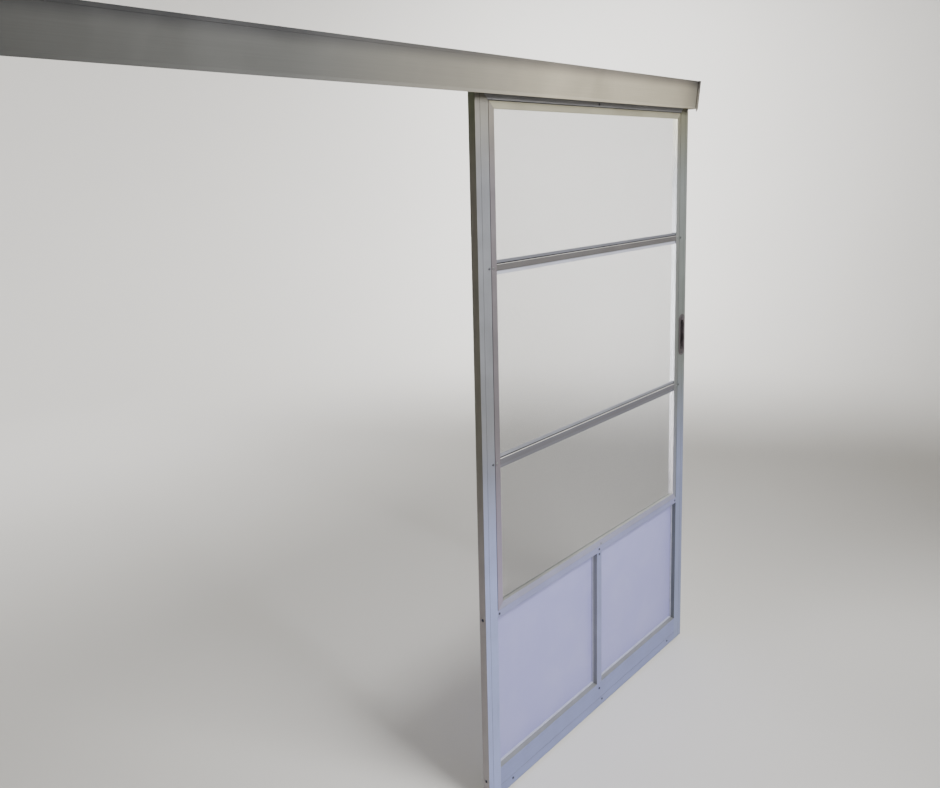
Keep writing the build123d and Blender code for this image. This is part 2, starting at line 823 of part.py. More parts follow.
with BuildPart() as header_track:
    with BuildSketch(Plane.YZ.offset(header_left)):
        with Locations((door_middle, (track_top + track_bottom) / 2)):
            Rectangle(track_width, track_height)
            Rectangle(track_width - 2 * track_wall, track_height - 2 * track_wall, mode=Mode.SUBTRACT)
        with Locations((door_middle, track_bottom + track_wall / 2)):
            Rectangle(track_slot, track_wall, mode=Mode.SUBTRACT)
    extrude(amount=header_right - header_left)
    with BuildSketch(Plane.XY.offset(track_top - track_wall - cut_margin)):
        with Locations((0, door_middle)), GridLocations(track_screw_spacing, 0, track_screw_count, 1):
            Circle(screw_radius + hole_fit)
    extrude(amount=track_wall + 2 * cut_margin, mode=Mode.SUBTRACT)
save(header_track, "header_track")

with BuildPart() as track_screws:
    with BuildSketch(Plane.XY.offset(track_top - track_wall)):
        with Locations((0, door_middle)), GridLocations(track_screw_spacing, 0, track_screw_count, 1):
            Circle(screw_radius)
    extrude(amount=track_wall + angle_thickness)
    with BuildSketch(Plane.XY.offset(track_top - track_wall)):
        with Locations((0, door_middle)), GridLocations(track_screw_spacing, 0, track_screw_count, 1):
            Circle(screw_head_radius)
    extrude(amount=-screw_head_height)
save(track_screws, "track_screws")

# Fascia: one folded sheet, with a flange on the angle, a small step near its top and a kick out
# along its bottom edge. Its right end follows the slope of the wall beside it.
fascia_front = -fascia_projection
fascia_top = angle_height / 2 + fascia_thickness
fascia_bottom = fascia_top - fascia_drop


def fascia_end(z):
    """X of the fascia's sloping right end at a level."""
    return fascia_right + fascia_rake * (z - fascia_bottom) / fascia_drop


with BuildPart() as fascia:
    with BuildSketch(Plane.YZ.offset(fascia_left)):
        with BuildLine():
            outside = [
                (fascia_front + fascia_flange, fascia_top),
                (fascia_front + fascia_step, fascia_top),
                (fascia_front + fascia_step, fascia_top - fascia_step_height),
                (fascia_front, fascia_top - fascia_step_height - fascia_step),
                (fascia_front, fascia_bottom + fascia_kick_height),
                (fascia_front - fascia_kick, fascia_bottom),
            ]
            inside = [(y + fascia_thickness, z - fascia_thickness) for y, z in outside[1:-1]]
            foot = (outside[-1][0] + fascia_thickness, fascia_bottom)
            back = (outside[0][0], fascia_top - fascia_thickness)
            Polyline(*outside, foot, *reversed(inside), back, close=True)
        make_face()
    extrude(amount=fascia_right + fascia_rake - fascia_left)
    end_low = fascia_bottom - cut_margin
    end_high = fascia_top + cut_margin
    with BuildSketch(facing(0)):
        Polygon(
            (fascia_end(end_low), end_low),
            (fascia_end(end_high) + fascia_rake, end_low),
            (fascia_end(end_high) + fascia_rake, end_high),
            (fascia_end(end_high), end_high),
            align=None,
        )
    extrude(amount=fascia_projection + fascia_kick + cut_margin, mode=Mode.SUBTRACT)
    with BuildSketch(Plane.XY.offset(fascia_top - fascia_thickness - cut_margin)):
        with Locations((0, door_front)), GridLocations(fascia_screw_spacing, 0, fascia_screw_count, 1):
            Circle(screw_radius + hole_fit)
    extrude(amount=fascia_thickness + 2 * cut_margin, mode=Mode.SUBTRACT)
save(fascia, "fascia")

with BuildPart() as fascia_screws:
    with BuildSketch(Plane.XY.offset(track_top)):
        with Locations((0, door_front)), GridLocations(fascia_screw_spacing, 0, fascia_screw_count, 1):
            Circle(screw_radius)
    extrude(amount=fascia_top - track_top)
    with BuildSketch(Plane.XY.offset(fascia_top)):
        with Locations((0, door_front)), GridLocations(fascia_screw_spacing, 0, fascia_screw_count, 1):
            Circle(screw_head_radius)
    extrude(amount=screw_head_height)
    fillet(fascia_screws.edges().filter_by(GeomType.CIRCLE).group_by(Axis.Z)[-1], screw_head_height / 2)
save(fascia_screws, "fascia_screws")

# End caps: a sheet that closes the fascia's end and a flange turned outwards at its front
for side, foot_x, head_x, outward in (
    ("left", fascia_left, fascia_left, -1),
    ("right", fascia_right, fascia_right + fascia_rake, 1),
):
    with BuildPart() as cap:
        with BuildSketch(facing(-angle_thickness)):
            Polygon(
                (foot_x, fascia_bottom),
                (foot_x + outward * fascia_thickness, fascia_bottom),
                (head_x + outward * fascia_thickness, fascia_top),
                (head_x, fascia_top),
                align=None,
            )
        extrude(amount=fascia_projection - angle_thickness + fascia_kick)
        with BuildSketch(facing(fascia_front - fascia_kick)):
            Polygon(
                (foot_x + outward * fascia_thickness, fascia_bottom - cap_tail),
                (foot_x + outward * cap_flange, fascia_bottom),
                (head_x + outward * cap_flange, fascia_top),
                (head_x, fascia_top),
                (foot_x, fascia_bottom),
                align=None,
            )
        extrude(amount=fascia_thickness)
    save(cap, f"fascia_cap_{side}")

# Trolleys. Each is a block with two fixed axles, four wheels and a bolt down to the leaf.
wheel_level = ledge + wheel_lift + wheel_radius
wheel_offset = track_slot / 2 + wheel_margin + wheel_width / 2
trolley_low = wheel_level - trolley_drop
trolley_high = wheel_level + trolley_rise
plate_top = door_top + plate_thickness
axle_steps = (-wheel_base / 2, wheel_base / 2)
axle_places = [(place + step, wheel_level) for place in trolley_places.values() for step in axle_steps]

for side, place in trolley_places.items():
    with BuildPart() as trolley:
        with BuildSketch(facing(door_middle + trolley_thickness / 2)):
            with Locations((place, (trolley_low + trolley_high) / 2)):
                RectangleRounded(trolley_length, trolley_high - trolley_low, trolley_rise / 2)
        extrude(amount=trolley_thickness)
        boss_reach = wheel_offset - wheel_width / 2 - side_play
        with BuildSketch(facing(door_middle + boss_reach)):
            with Locations((place, wheel_level)), GridLocations(wheel_base, 0, 2, 1):
                Circle(axle_radius + trolley_boss_wall)
        extrude(amount=2 * boss_reach)
        with BuildSketch(facing(door_middle + boss_reach + cut_margin)):
            with Locations((place, wheel_level)), GridLocations(wheel_base, 0, 2, 1):
                Circle(axle_radius + axle_clearance)
        extrude(amount=2 * (boss_reach + cut_margin), mode=Mode.SUBTRACT)
        with BuildSketch(Plane.XY.offset(trolley_low)):
            with Locations((place, door_middle)):
                Circle(trolley_boss_radius)
        extrude(amount=trolley_high - trolley_low)
        with BuildSketch(Plane.XY.offset(trolley_low - cut_margin)):
            with Locations((place, door_middle)):
                Circle(bolt_radius + hole_fit)
        extrude(amount=trolley_high - trolley_low + 2 * cut_margin, mode=Mode.SUBTRACT)
    save(trolley, f"trolley_{side}")

    for run, along in (("lead", -1), ("trail", 1)):
        for row, across in (("front", -1), ("back", 1)):
            wheel_x = place + along * wheel_base / 2
            wheel_y = door_middle + across * wheel_offset
            with BuildPart() as wheel:
                with BuildSketch(facing(wheel_y + wheel_width / 2)):
                    with Locations((wheel_x, wheel_level)):
                        Circle(wheel_radius)
                        Circle(axle_radius + axle_clearance, mode=Mode.SUBTRACT)
                extrude(amount=wheel_width)
                circles = wheel.edges().filter_by(GeomType.CIRCLE)
                rims = circles.filter_by(lambda e: e.radius > 2 * axle_radius)
                fillet(rims, edge_round)
                for face_y, dish in ((wheel_y + wheel_width / 2, 1), (wheel_y - wheel_width / 2, -1)):
                    with BuildSketch(facing(face_y)):
                        with Locations((wheel_x, wheel_level)):
                            Circle(wheel_radius - wheel_ring)
                            Circle(axle_radius + wheel_ring, mode=Mode.SUBTRACT)
                    extrude(amount=dish * wheel_dish, mode=Mode.SUBTRACT)
            save(wheel, f"wheel_{side}_{run}_{row}")

with BuildPart() as axles:
    head_face = wheel_offset + wheel_width / 2 + side_play
    for reach, radius, start in (
        (2 * head_face, axle_radius, door_middle + head_face),
        (axle_head_height, axle_head_radius, door_middle + head_face + axle_head_height),
        (axle_head_height, axle_head_radius, door_middle - head_face),
    ):
        with BuildSketch(facing(start)):
            with Locations(*axle_places):
                Circle(radius)
        extrude(amount=reach)
save(axles, "axles")

with BuildPart() as hanger_plates:
    with BuildSketch(Plane.XY.offset(door_top)):
        for place in trolley_places.values():
            with Locations((place, door_middle)):
                RectangleRounded(plate_length, plate_width, plate_corner)
                Circle(bolt_radius + hole_fit, mode=Mode.SUBTRACT)
            with Locations((place, door_middle)), GridLocations(plate_screw_spacing, 0, 2, 1):
                Circle(screw_radius + hole_fit, mode=Mode.SUBTRACT)
    extrude(amount=plate_thickness)
save(hanger_plates, "hanger_plates")

with BuildPart() as hanger_bolts:
    for place in trolley_places.values():
        with BuildSketch(Plane.XY.offset(door_top - bolt_tip)):
            with Locations((place, door_middle)):
                Circle(bolt_radius)
        extrude(amount=trolley_high - door_top + bolt_tip)
        with BuildSketch(Plane.XY.offset(trolley_high)):
            with Locations((place, door_middle)):
                RegularPolygon(nut_size / 2, 6, major_radius=False)
        extrude(amount=bolt_head_height)
save(hanger_bolts, "hanger_bolts")

with BuildPart() as hanger_nuts:
    for place in trolley_places.values():
        with BuildSketch(Plane.XY.offset(plate_top)):
            with Locations((place, door_middle)):
                RegularPolygon(nut_size / 2, 6, major_radius=False)
                Circle(bolt_radius + hole_fit, mode=Mode.SUBTRACT)
        extrude(amount=nut_height)
save(hanger_nuts, "hanger_nuts")

with BuildPart() as plate_screws:
    for place in trolley_places.values():
        with BuildSketch(Plane.XY.offset(plate_top)):
            with Locations((place, door_middle)), GridLocations(plate_screw_spacing, 0, 2, 1):
                Circle(screw_radius)
        extrude(amount=-(screw_length + plate_thickness))
        with BuildSketch(Plane.XY.offset(plate_top)):
            with Locations((place, door_middle)), GridLocations(plate_screw_spacing, 0, 2, 1):
                Circle(screw_head_radius)
        extrude(amount=screw_head_height)
    fillet(plate_screws.edges().filter_by(GeomType.CIRCLE).group_by(Axis.Z)[-1], screw_head_height / 2)
save(plate_screws, "plate_screws")

# End stops stand on the track's flanges and are clamped from below through the slot
trolley_reach = trolley_length / 2
stop_faces = {
    "left": (trolley_places["left"] - trolley_reach - travel - stop_gap, -1),
    "right": (trolley_places["right"] + trolley_reach + stop_gap, 1),
}

for side, (face_x, outward) in stop_faces.items():
    middle_x = face_x + outward * stop_length / 2
    with BuildPart() as stop:
        with BuildSketch(facing(door_middle + stop_width / 2)):
            with Locations((middle_x, ledge + stop_height / 2)):
                Rectangle(stop_length, stop_height)
        extrude(amount=stop_width)
        top_edges = stop.faces().sort_by(Axis.Z)[-1].edges().filter_by(Axis.Y)
        fillet(top_edges, stop_round)
        with BuildSketch(Plane.XY.offset(ledge)):
            with Locations((middle_x, door_middle)):
                Circle(stop_screw_radius + hole_fit)
        extrude(amount=stop_screw_depth, mode=Mode.SUBTRACT)
    save(stop, f"stop_{side}")

with BuildPart() as stop_screws:
    for face_x, outward in stop_faces.values():
        middle = (face_x + outward * stop_length / 2, door_middle)
        with BuildSketch(Plane.XY.offset(track_bottom)):
            with Locations(middle):
                Circle(stop_screw_radius)
        extrude(amount=track_wall + stop_screw_depth)
        with BuildSketch(Plane.XY.offset(track_bottom)):
            with Locations(middle):
                Circle(stop_washer_radius)
        extrude(amount=-stop_washer_height)
save(stop_screws, "stop_screws")

# Flush pull: a rounded flange on the stile and a finger pocket let into it
pocket_floor = door_front + pocket_depth
lever_level = level(lever_height)
stem_slot = stem_length + lever_travel + 2 * lever_gap

with BuildPart() as flush_pull:
    with BuildSketch(facing(door_front)):
        with Locations(pull_centre):
            SlotOverall(pull_length, pull_width, rotation=90)
    extrude(amount=pull_flange)
    fillet(flush_pull.faces().sort_by(Axis.Y)[0].edges(), edge_round)
    with BuildSketch(facing(pocket_floor + pocket_wall)):
        with Locations(pull_centre):
            SlotOverall(pocket_length + 2 * pocket_wall, pocket_width + 2 * pocket_wall, rotation=90)
    extrude(amount=pocket_depth + pocket_wall)
    with BuildSketch(facing(pocket_floor)):
        with Locations(pull_centre):
            SlotOverall(pocket_length, pocket_width, rotation=90)
    extrude(amount=pocket_depth + pull_flange + cut_margin, mode=Mode.SUBTRACT)
    with BuildSketch(facing(pocket_floor + pocket_wall + cut_margin)):
        with Locations((pull_centre[0], lever_level + lever_travel / 2)):
            Rectangle(stem_width + 2 * lever_gap, stem_slot)
    extrude(amount=pocket_wall + 2 * cut_margin, mode=Mode.SUBTRACT)
    with BuildSketch(facing(door_front + cut_margin)):
        with Locations(pull_centre), GridLocations(0, pull_screw_spacing, 1, 2):
            Circle(screw_radius + hole_fit)
    extrude(amount=pull_flange + 2 * cut_margin, mode=Mode.SUBTRACT)
save(flush_pull, "flush_pull")

with BuildPart() as pull_screws:
    flange_front = door_front - pull_flange
    with BuildSketch(facing(flange_front + screw_length)):
        with Locations(pull_centre), GridLocations(0, pull_screw_spacing, 1, 2):
            Circle(screw_radius)
    extrude(amount=screw_length)
    with BuildSketch(facing(flange_front)):
        with Locations(pull_centre), GridLocations(0, pull_screw_spacing, 1, 2):
            Circle(screw_head_radius)
    extrude(amount=screw_head_height)
    fillet(pull_screws.edges().filter_by(GeomType.CIRCLE).group_by(Axis.Y)[0], screw_head_height / 2)
save(pull_screws, "pull_screws")

# Latch lever: a thumb piece in the pocket, a stem through the pocket's floor and a foot behind
with BuildPart() as latch_lever:
    thumb_back = pocket_floor - lever_gap
    with BuildSketch(facing(thumb_back)):
        with Locations((pull_centre[0], lever_level)):
            Rectangle(lever_width, lever_length)
    extrude(amount=pocket_depth - lever_gap - lever_recess)
    thumb_top = latch_lever.faces().sort_by(Axis.Z)[-1].edges().filter_by(Axis.X).sort_by(Axis.Y)[0]
    chamfer(thumb_top, lever_length / 2)
    foot_front = pocket_floor + pocket_wall + lever_gap
    with BuildSketch(facing(foot_front)):
        with Locations((pull_centre[0], lever_level)):
            Rectangle(stem_width, stem_length)
    extrude(amount=foot_front - thumb_back)
    with BuildSketch(facing(foot_front + lever_foot_thickness)):
        with Locations((pull_centre[0], lever_level)):
            Rectangle(lever_width, lever_length)
    extrude(amount=lever_foot_thickness)
save(latch_lever, "latch_lever")

# Hook: a hub on the case's pin, an arm and a barb. At rest it stands inside the stile.
with BuildPart() as latch_hook:
    pivot_x, pivot_z = hook_pivot
    with BuildSketch(facing(hook_back)):
        with Locations(hook_pivot):
            Circle(hook_hub_radius)
        half_arm = hook_arm_width / 2
        Polygon(
            (pivot_x - half_arm, pivot_z),
            (pivot_x + half_arm, pivot_z),
            (pivot_x + half_arm, pivot_z + hook_reach - hook_barb_height),
            (pivot_x + hook_barb, pivot_z + hook_reach - hook_barb_height),
            (pivot_x + hook_barb, pivot_z + hook_reach),
            (pivot_x - half_arm, pivot_z + hook_reach),
            align=None,
        )
        with Locations(hook_pivot):
            Circle(hook_pin_radius + axle_clearance, mode=Mode.SUBTRACT)
    extrude(amount=hook_thickness)
save(latch_hook, "latch_hook")

# Case plate on the stile's back wall, with the hook's pin and the spacer under the hook
with BuildPart() as latch_case:
    stile_back_wall = door_back - frame_wall
    with BuildSketch(facing(stile_back_wall)):
        with Locations(hook_pivot):
            Rectangle(case_width, case_length)
    extrude(amount=case_thickness)
    with BuildSketch(facing(stile_back_wall - case_thickness)):
        with Locations(hook_pivot):
            Circle(hook_pin_radius + hook_spacer_wall)
    extrude(amount=stile_back_wall - case_thickness - hook_back - lever_gap)
    with BuildSketch(facing(stile_back_wall - case_thickness)):
        with Locations(hook_pivot):
            Circle(hook_pin_radius)
    extrude(amount=stile_back_wall - case_thickness - hook_front)
save(latch_case, "latch_case")

# Keeper: a plate on the wall beside the closed door, with a slot for the hook
keeper_x = door_width + keeper_gap
keeper_middle = hook_pivot[1] + (keeper_slot_rise - keeper_slot_drop) / 2

with BuildPart() as keeper:
    with BuildSketch(Plane.YZ.offset(keeper_x)):
        with Locations((hook_middle, keeper_middle)):
            RectangleRounded(keeper_width, keeper_length, plate_corner)
            Rectangle(keeper_slot_width, keeper_slot_rise + keeper_slot_drop, mode=Mode.SUBTRACT)
        with Locations((hook_middle, keeper_middle)), GridLocations(0, keeper_hole_spacing, 1, 2):
            Circle(keeper_hole_radius, mode=Mode.SUBTRACT)
    extrude(amount=keeper_thickness)
save(keeper, "keeper")

# Floor guide
pad_front = door_front - guide_clearance
pad_back = door_back + guide_clearance
guide_middle = guide_left + guide_length / 2
guide_right = guide_left + guide_length
guide_top = level(foot_screw_height - screw_head_radius - guide_screw_gap)

with BuildPart() as floor_guide:
    steel_front = pad_front - guide_pad - guide_steel
    steel_back = pad_back + guide_pad + guide_steel
    box_between((guide_left, steel_front, floor_level), (guide_right, steel_back, guide_top))
    box_between(
        (guide_left - cut_margin, steel_front + guide_steel, floor_level + guide_steel),
        (guide_right + cut_margin, steel_back - guide_steel, guide_top + cut_margin),
        Mode.SUBTRACT,
    )
    outer_folds = floor_guide.edges().filter_by(Axis.X).group_by(Axis.Z)[0]
    fillet(outer_folds, guide_fold)
    with BuildSketch(Plane.XY.offset(floor_level - cut_margin)):
        with Locations((guide_middle, door_middle)), GridLocations(guide_hole_spacing, 0, 2, 1):
            Circle(guide_hole_radius)
    extrude(amount=guide_steel + 2 * cut_margin, mode=Mode.SUBTRACT)
save(floor_guide, "floor_guide")

with BuildPart() as guide_pads:
    for face, outward in ((pad_front, -1), (pad_back, 1)):
        far = face + outward * guide_pad
        box_between(
            (guide_left, min(face, far), floor_level + guide_steel),
            (guide_right, max(face, far), guide_top),
        )
save(guide_pads, "guide_pads")
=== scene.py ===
"""Looks of a top-hung sliding screen door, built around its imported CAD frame.

Metres, in the frame's own axes: X along the header, Y to its back, Z up. The origin is on the
header's back face, level with its fixing holes, straight above the closed leaf's left edge.
"""
from __future__ import annotations

import logging
import math
from collections.abc import Callable, Iterable
from dataclasses import dataclass
from enum import Enum
from functools import partial
from itertools import product
from typing import Any

import bpy
from mathutils import Matrix, Vector

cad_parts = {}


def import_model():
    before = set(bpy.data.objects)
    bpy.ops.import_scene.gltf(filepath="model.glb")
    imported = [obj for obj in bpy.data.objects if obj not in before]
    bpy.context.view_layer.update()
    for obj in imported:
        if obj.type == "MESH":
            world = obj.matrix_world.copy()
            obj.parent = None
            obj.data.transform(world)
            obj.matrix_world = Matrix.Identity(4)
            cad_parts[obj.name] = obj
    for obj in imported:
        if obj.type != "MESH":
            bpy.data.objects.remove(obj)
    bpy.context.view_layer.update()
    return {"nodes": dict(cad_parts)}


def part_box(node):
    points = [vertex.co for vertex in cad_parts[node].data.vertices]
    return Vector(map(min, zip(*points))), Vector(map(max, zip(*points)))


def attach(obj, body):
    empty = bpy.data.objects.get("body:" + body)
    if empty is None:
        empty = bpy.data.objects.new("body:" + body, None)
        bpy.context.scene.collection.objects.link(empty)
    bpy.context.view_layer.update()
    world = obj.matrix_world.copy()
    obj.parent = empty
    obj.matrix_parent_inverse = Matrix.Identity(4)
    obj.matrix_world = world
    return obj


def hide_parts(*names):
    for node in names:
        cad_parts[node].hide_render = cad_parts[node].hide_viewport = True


log = logging.getLogger("screen_door")
MM = 0.001
TOUCH = 0.001 * MM  # points closer than this count as one
SQUARE = 0.9  # the least share of a normal along an axis, on a face square to it
NOISE = (0.3, 0.7)  # the span that holds nearly all of a noise's values
LOOKING_DOWN_AXIS = (-0.3, -0.7)  # from beside an axis to well towards its lower end
COLOURS = {"data_type": "RGBA"}
SMOOTHLY = {"interpolation_type": "SMOOTHSTEP"}
OPENINGS = ("lower", "middle", "upper")
Point = tuple[float, float, float]
Span = tuple[float, float]
Tones = tuple[str, str, str]
Sockets = dict[str | int, Any]
# Painted light and shade on the faces that look left, as tones at head, middle and foot: the
# stile's edge is painted warmer and darker than its front as shade, and the lip's side is painted
# pale as light falling on it from behind the leaf.
LEFT_FACES: dict[str, Tones] = {
    "stile_left": ("636751", "79776E", "9D989B"),
    "insert_right": ("C9C6B4", "7E8083", "CFCCD2"),
}


class Run(Enum):
    """The way a section, sheet or thread runs. The value stretches a pattern along it."""

    UPRIGHT = (1.0, 1.0, 0.012)
    LEVEL = (0.012, 1.0, 1.0)
    NONE = (1.0, 1.0, 1.0)


def linear(shade: str) -> tuple[float, float, float, float]:
    """Turn an sRGB hex value into the linear colour that a shader takes.

    Args:
        shade: Six hex digits, red, green and blue.

    Returns:
        Red, green, blue and an alpha of one.
    """
    parts = (int(shade[i : i + 2], 16) / 255 for i in (0, 2, 4))
    red, green, blue = (c / 12.92 if c <= 0.04045 else ((c + 0.055) / 1.055) ** 2.4 for c in parts)
    return red, green, blue, 1.0


def fill(tree: bpy.types.NodeTree, node: bpy.types.Node, sockets: Sockets) -> None:
    """Set or link a node's input sockets.

    Args:
        tree: The tree with the node.
        node: The node.
        sockets: What goes in, by the socket's name or number: a number, six hex digits for a
            colour, an output socket, or a node, whose first output in use is taken.
    """
    for name, value in sockets.items():
        in_use = [entry for entry in node.inputs if entry.enabled and entry.name == name]
        entry = in_use[0] if in_use else node.inputs[name]
        if isinstance(value, bpy.types.Node):
            value = next(output for output in value.outputs if output.enabled)
        if isinstance(value, bpy.types.NodeSocket):
            tree.links.new(value, entry)
        else:
            entry.default_value = linear(value) if isinstance(value, str) else value


def add_node(
    tree: bpy.types.NodeTree,
    kind: str,
    settings: dict[str, Any] | None = None,
    sockets: Sockets | None = None,
) -> bpy.types.Node:
    """Add a node with its settings and links.

    Args:
        tree: The material's or world's node tree.
        kind: The node's type name after ShaderNode.
        settings: Properties of the node itself.
        sockets: What goes into its input sockets, as fill takes it.

    Returns:
        The new node.
    """
    node = tree.nodes.new(f"ShaderNode{kind}")
    for name, value in (settings or {}).items():
        setattr(node, name, value)
    fill(tree, node, sockets or {})
    return node


def spans(value: Any, start_end: Span, result: Span = (0.0, 1.0)) -> Sockets:
    """List the sockets that map a span of a value onto another span.

    Args:
        value: The node or socket with the value.
        start_end: Where the value starts and ends.
        result: What comes out there.

    Returns:
        The sockets' contents.
    """
    (start, end), (first, last) = start_end, result
    return {"Value": value, "From Min": start, "From Max": end, "To Min": first, "To Max": last}


class Surface:
    """A material in the making, with one Principled shader and the piece's own coordinates."""

    def __init__(self, name: str) -> None:
        """Start the material.

        Args:
            name: The material's name.
        """
        self.material = bpy.data.materials.new(name)
        self.material.use_nodes = True
        self.tree = self.material.node_tree
        self.tree.nodes.clear()
        self.add = partial(add_node, self.tree)
        self.shader = self.add("BsdfPrincipled")
        self.add("OutputMaterial", sockets={"Surface": self.shader})
        self.where = self.add("TexCoord").outputs["Object"]

    def pattern(
        self, grain_mm: float, run: Run = Run.NONE, detail: float = 2.0, swirl: float = 0.0
    ) -> bpy.types.Node:
        """Lay an uneven pattern of a real grain size over a piece.

        Args:
            grain_mm: The size of a grain.
            run: The way the grain is drawn out.
            detail: How many finer layers it has.
            swirl: How far it is distorted.

        Returns:
            The node with the pattern, about 0.3 to 0.7.
        """
        along = self.add("Mapping", sockets={"Vector": self.where, "Scale": run.value})
        look = {"Vector": along, "Scale": 1 / (grain_mm * MM), "Detail": detail}
        look |= {"Roughness": 0.55, "Distortion": swirl}
        return self.add("TexNoise", sockets=look)

    def facing(self, axis: str, span: Span) -> bpy.types.Node:
        """Tell the faces that look along an axis from the others.

        Args:
            axis: X, Y or Z.
            span: The parts of the normal along the axis where the result is nought and one.

        Returns:
            The node with the result.
        """
        normal = self.add("NewGeometry").outputs["True Normal"]
        split = self.add("SeparateXYZ", sockets={"Vector": normal})
        return self.add("MapRange", SMOOTHLY, spans(split.outputs[axis], span))

    def finish(self, sockets: Sockets) -> bpy.types.Material:
        """Fill the shader's sockets.

        Args:
            sockets: What goes into them, as fill takes it.

        Returns:
            The material.
        """
        fill(self.tree, self.shader, sockets)
        return self.material


@dataclass(frozen=True)
class AnodisedExtrusion:
    """Extruded aluminium, etched and anodised in a cool grey.

    The etch gives an even satin sheen with soft clouds, and the die leaves faint lines along the
    run. Its head, middle and foot tones are painted light: the leaf is painted a little warmer at
    its head, and its front painted bluer at its foot, beside the kick panels, as light reflected
    from the floor.
    """

    name: str
    head: str
    middle: str
    foot: str
    run: Run
    roughness: float = 0.46
    gloss_change: Span = (-0.06, 0.07)
    metallic: float = 0.35
    line_mm: float = 1.6  # real die lines are about 0.2 mm apart, too fine to show here
    line_depth_mm: float = 0.03
    line_shades: Span = (0.965, 1.03)
    cloud_mm: float = 90.0
    cloud_depth: float = 0.06
    seam_mm: float = 2.5
    seam_span: Span = (0.35, 0.85)
    seam_shade: float = 0.6
    edge_mm: float = 0.7
    foot_levels: Span = (-0.95, -1.45)
    head_levels: Span = (-0.34, -0.06)
    left_faces: Tones | None = None

    def tones(self, surface: Surface) -> bpy.types.Node:
        """Mix the base colour from the three tones by height.

        Args:
            surface: The material in the making.

        Returns:
            The node with the base colour.
        """
        height = surface.add("SeparateXYZ", sockets={"Vector": surface.where}).outputs["Z"]
        to_foot = surface.add("MapRange", SMOOTHLY, spans(height, self.foot_levels))
        to_head = surface.add("MapRange", SMOOTHLY, spans(height, self.head_levels))
        front = surface.facing("Y", LOOKING_DOWN_AXIS)
        lower = surface.add("Mix", COLOURS, {"Factor": to_foot, "A": self.middle, "B": self.foot})
        lower = surface.add("Mix", COLOURS, {"Factor": front, "A": self.middle, "B": lower})
        base = surface.add("Mix", COLOURS, {"Factor": to_head, "A": lower, "B": self.head})
        if self.left_faces is None:
            return base
        # The faces that look left take their painted light and shade tones.
        head, middle, foot = self.left_faces
        left = surface.facing("X", LOOKING_DOWN_AXIS)
        lower = surface.add("Mix", COLOURS, {"Factor": to_foot, "A": middle, "B": foot})
        side = surface.add("Mix", COLOURS, {"Factor": to_head, "A": lower, "B": head})
        return surface.add("Mix", COLOURS, {"Factor": left, "A": base, "B": side})

    def material(self) -> bpy.types.Material:
        """Build the finish.

        Returns:
            The material.
        """
        surface = Surface(self.name)
        lines = surface.pattern(self.line_mm, self.run, detail=3.0)
        clouds = surface.pattern(self.cloud_mm, detail=4.0, swirl=0.4)
        # Ambient occlusion paints shade into the seams and grooves, down to seam_shade.
        seams = {"Distance": self.seam_mm * MM}
        open_sky = surface.add("AmbientOcclusion", {"samples": 6}, seams).outputs["AO"]
        base = self.tones(surface)
        for share in (
            spans(clouds, NOISE, (1.0 - self.cloud_depth, 1.0 + self.cloud_depth)),
            spans(lines, NOISE, self.line_shades),
            spans(open_sky, self.seam_span, (self.seam_shade, 1.0)),
        ):
            shade = surface.add("MapRange", SMOOTHLY, share)
            base = surface.add("VectorMath", {"operation": "SCALE"}, {0: base, "Scale": shade})
        duller, glossier = (self.roughness + change for change in self.gloss_change)
        gloss = surface.add("MapRange", SMOOTHLY, spans(clouds, NOISE, (duller, glossier)))
        edges = surface.add("Bevel", {"samples": 4}, {"Radius": self.edge_mm * MM})
        drawn = {"Height": lines, "Strength": 0.25, "Distance": self.line_depth_mm * MM}
        relief = surface.add("Bump", sockets=drawn | {"Normal": edges})
        look = {"Base Color": base, "Roughness": gloss, "Normal": relief}
        return surface.finish(look | {"Metallic": self.metallic})


@dataclass(frozen=True)
class RibbedBar(AnodisedExtrusion):
    """The crossbar's anodised section: a grey rib between two flanges, its top worn and painted
    pale as a highlight.

    Its head tone is the rib's, its middle tone the upper flange's and its foot tone the lower
    flange's. A thin line of painted shade lies above the rib, in the corner where the upper flange
    meets the rib's top.
    """

    middle_height: float = 0.0
    rib_mm: float = 17.0
    rib_back: float = -0.0413
    # The rib's top faces are painted pale, a painted highlight over a little wear; a thin line of
    # painted shade lies above the rib.
    rubbed: str = "E4E1DC"
    grime: str = "161618"
    grime_mm: float = 3.4
    blur_mm: float = 0.3

    def tones(self, surface: Surface) -> bpy.types.Node:
        """Give the rib, the two flanges, the rib's worn top with its painted highlight and the
        painted shade line their own tones.

        Args:
            surface: The material in the making.

        Returns:
            The node with the base colour.
        """
        split = surface.add("SeparateXYZ", sockets={"Vector": surface.where}).outputs
        height, depth = split["Z"], split["Y"]
        middle, back, blur = self.middle_height, self.rib_back, self.blur_mm * MM
        top = middle + self.rib_mm / 2 * MM
        line_top = top + self.grime_mm * MM
        above = surface.add("MapRange", SMOOTHLY, spans(height, (middle - blur, middle + blur)))
        over_rib = surface.add("MapRange", SMOOTHLY, spans(height, (top - blur, top + blur)))
        below = surface.add("MapRange", SMOOTHLY, spans(height, (line_top + blur, line_top - blur)))
        on_rib = surface.add("MapRange", SMOOTHLY, spans(depth, (back + blur, back - blur)))
        # The band just above the rib takes the painted shade line.
        in_line = surface.add("Math", {"operation": "MULTIPLY"}, {0: below, 1: over_rib})
        upward = surface.facing("Z", (0.3, 0.6))
        flange = surface.add("Mix", COLOURS, {"Factor": above, "A": self.foot, "B": self.middle})
        flange = surface.add("Mix", COLOURS, {"Factor": in_line, "A": flange, "B": self.grime})
        rib = surface.add("Mix", COLOURS, {"Factor": upward, "A": self.head, "B": self.rubbed})
        return surface.add("Mix", COLOURS, {"Factor": on_rib, "A": flange, "B": rib})


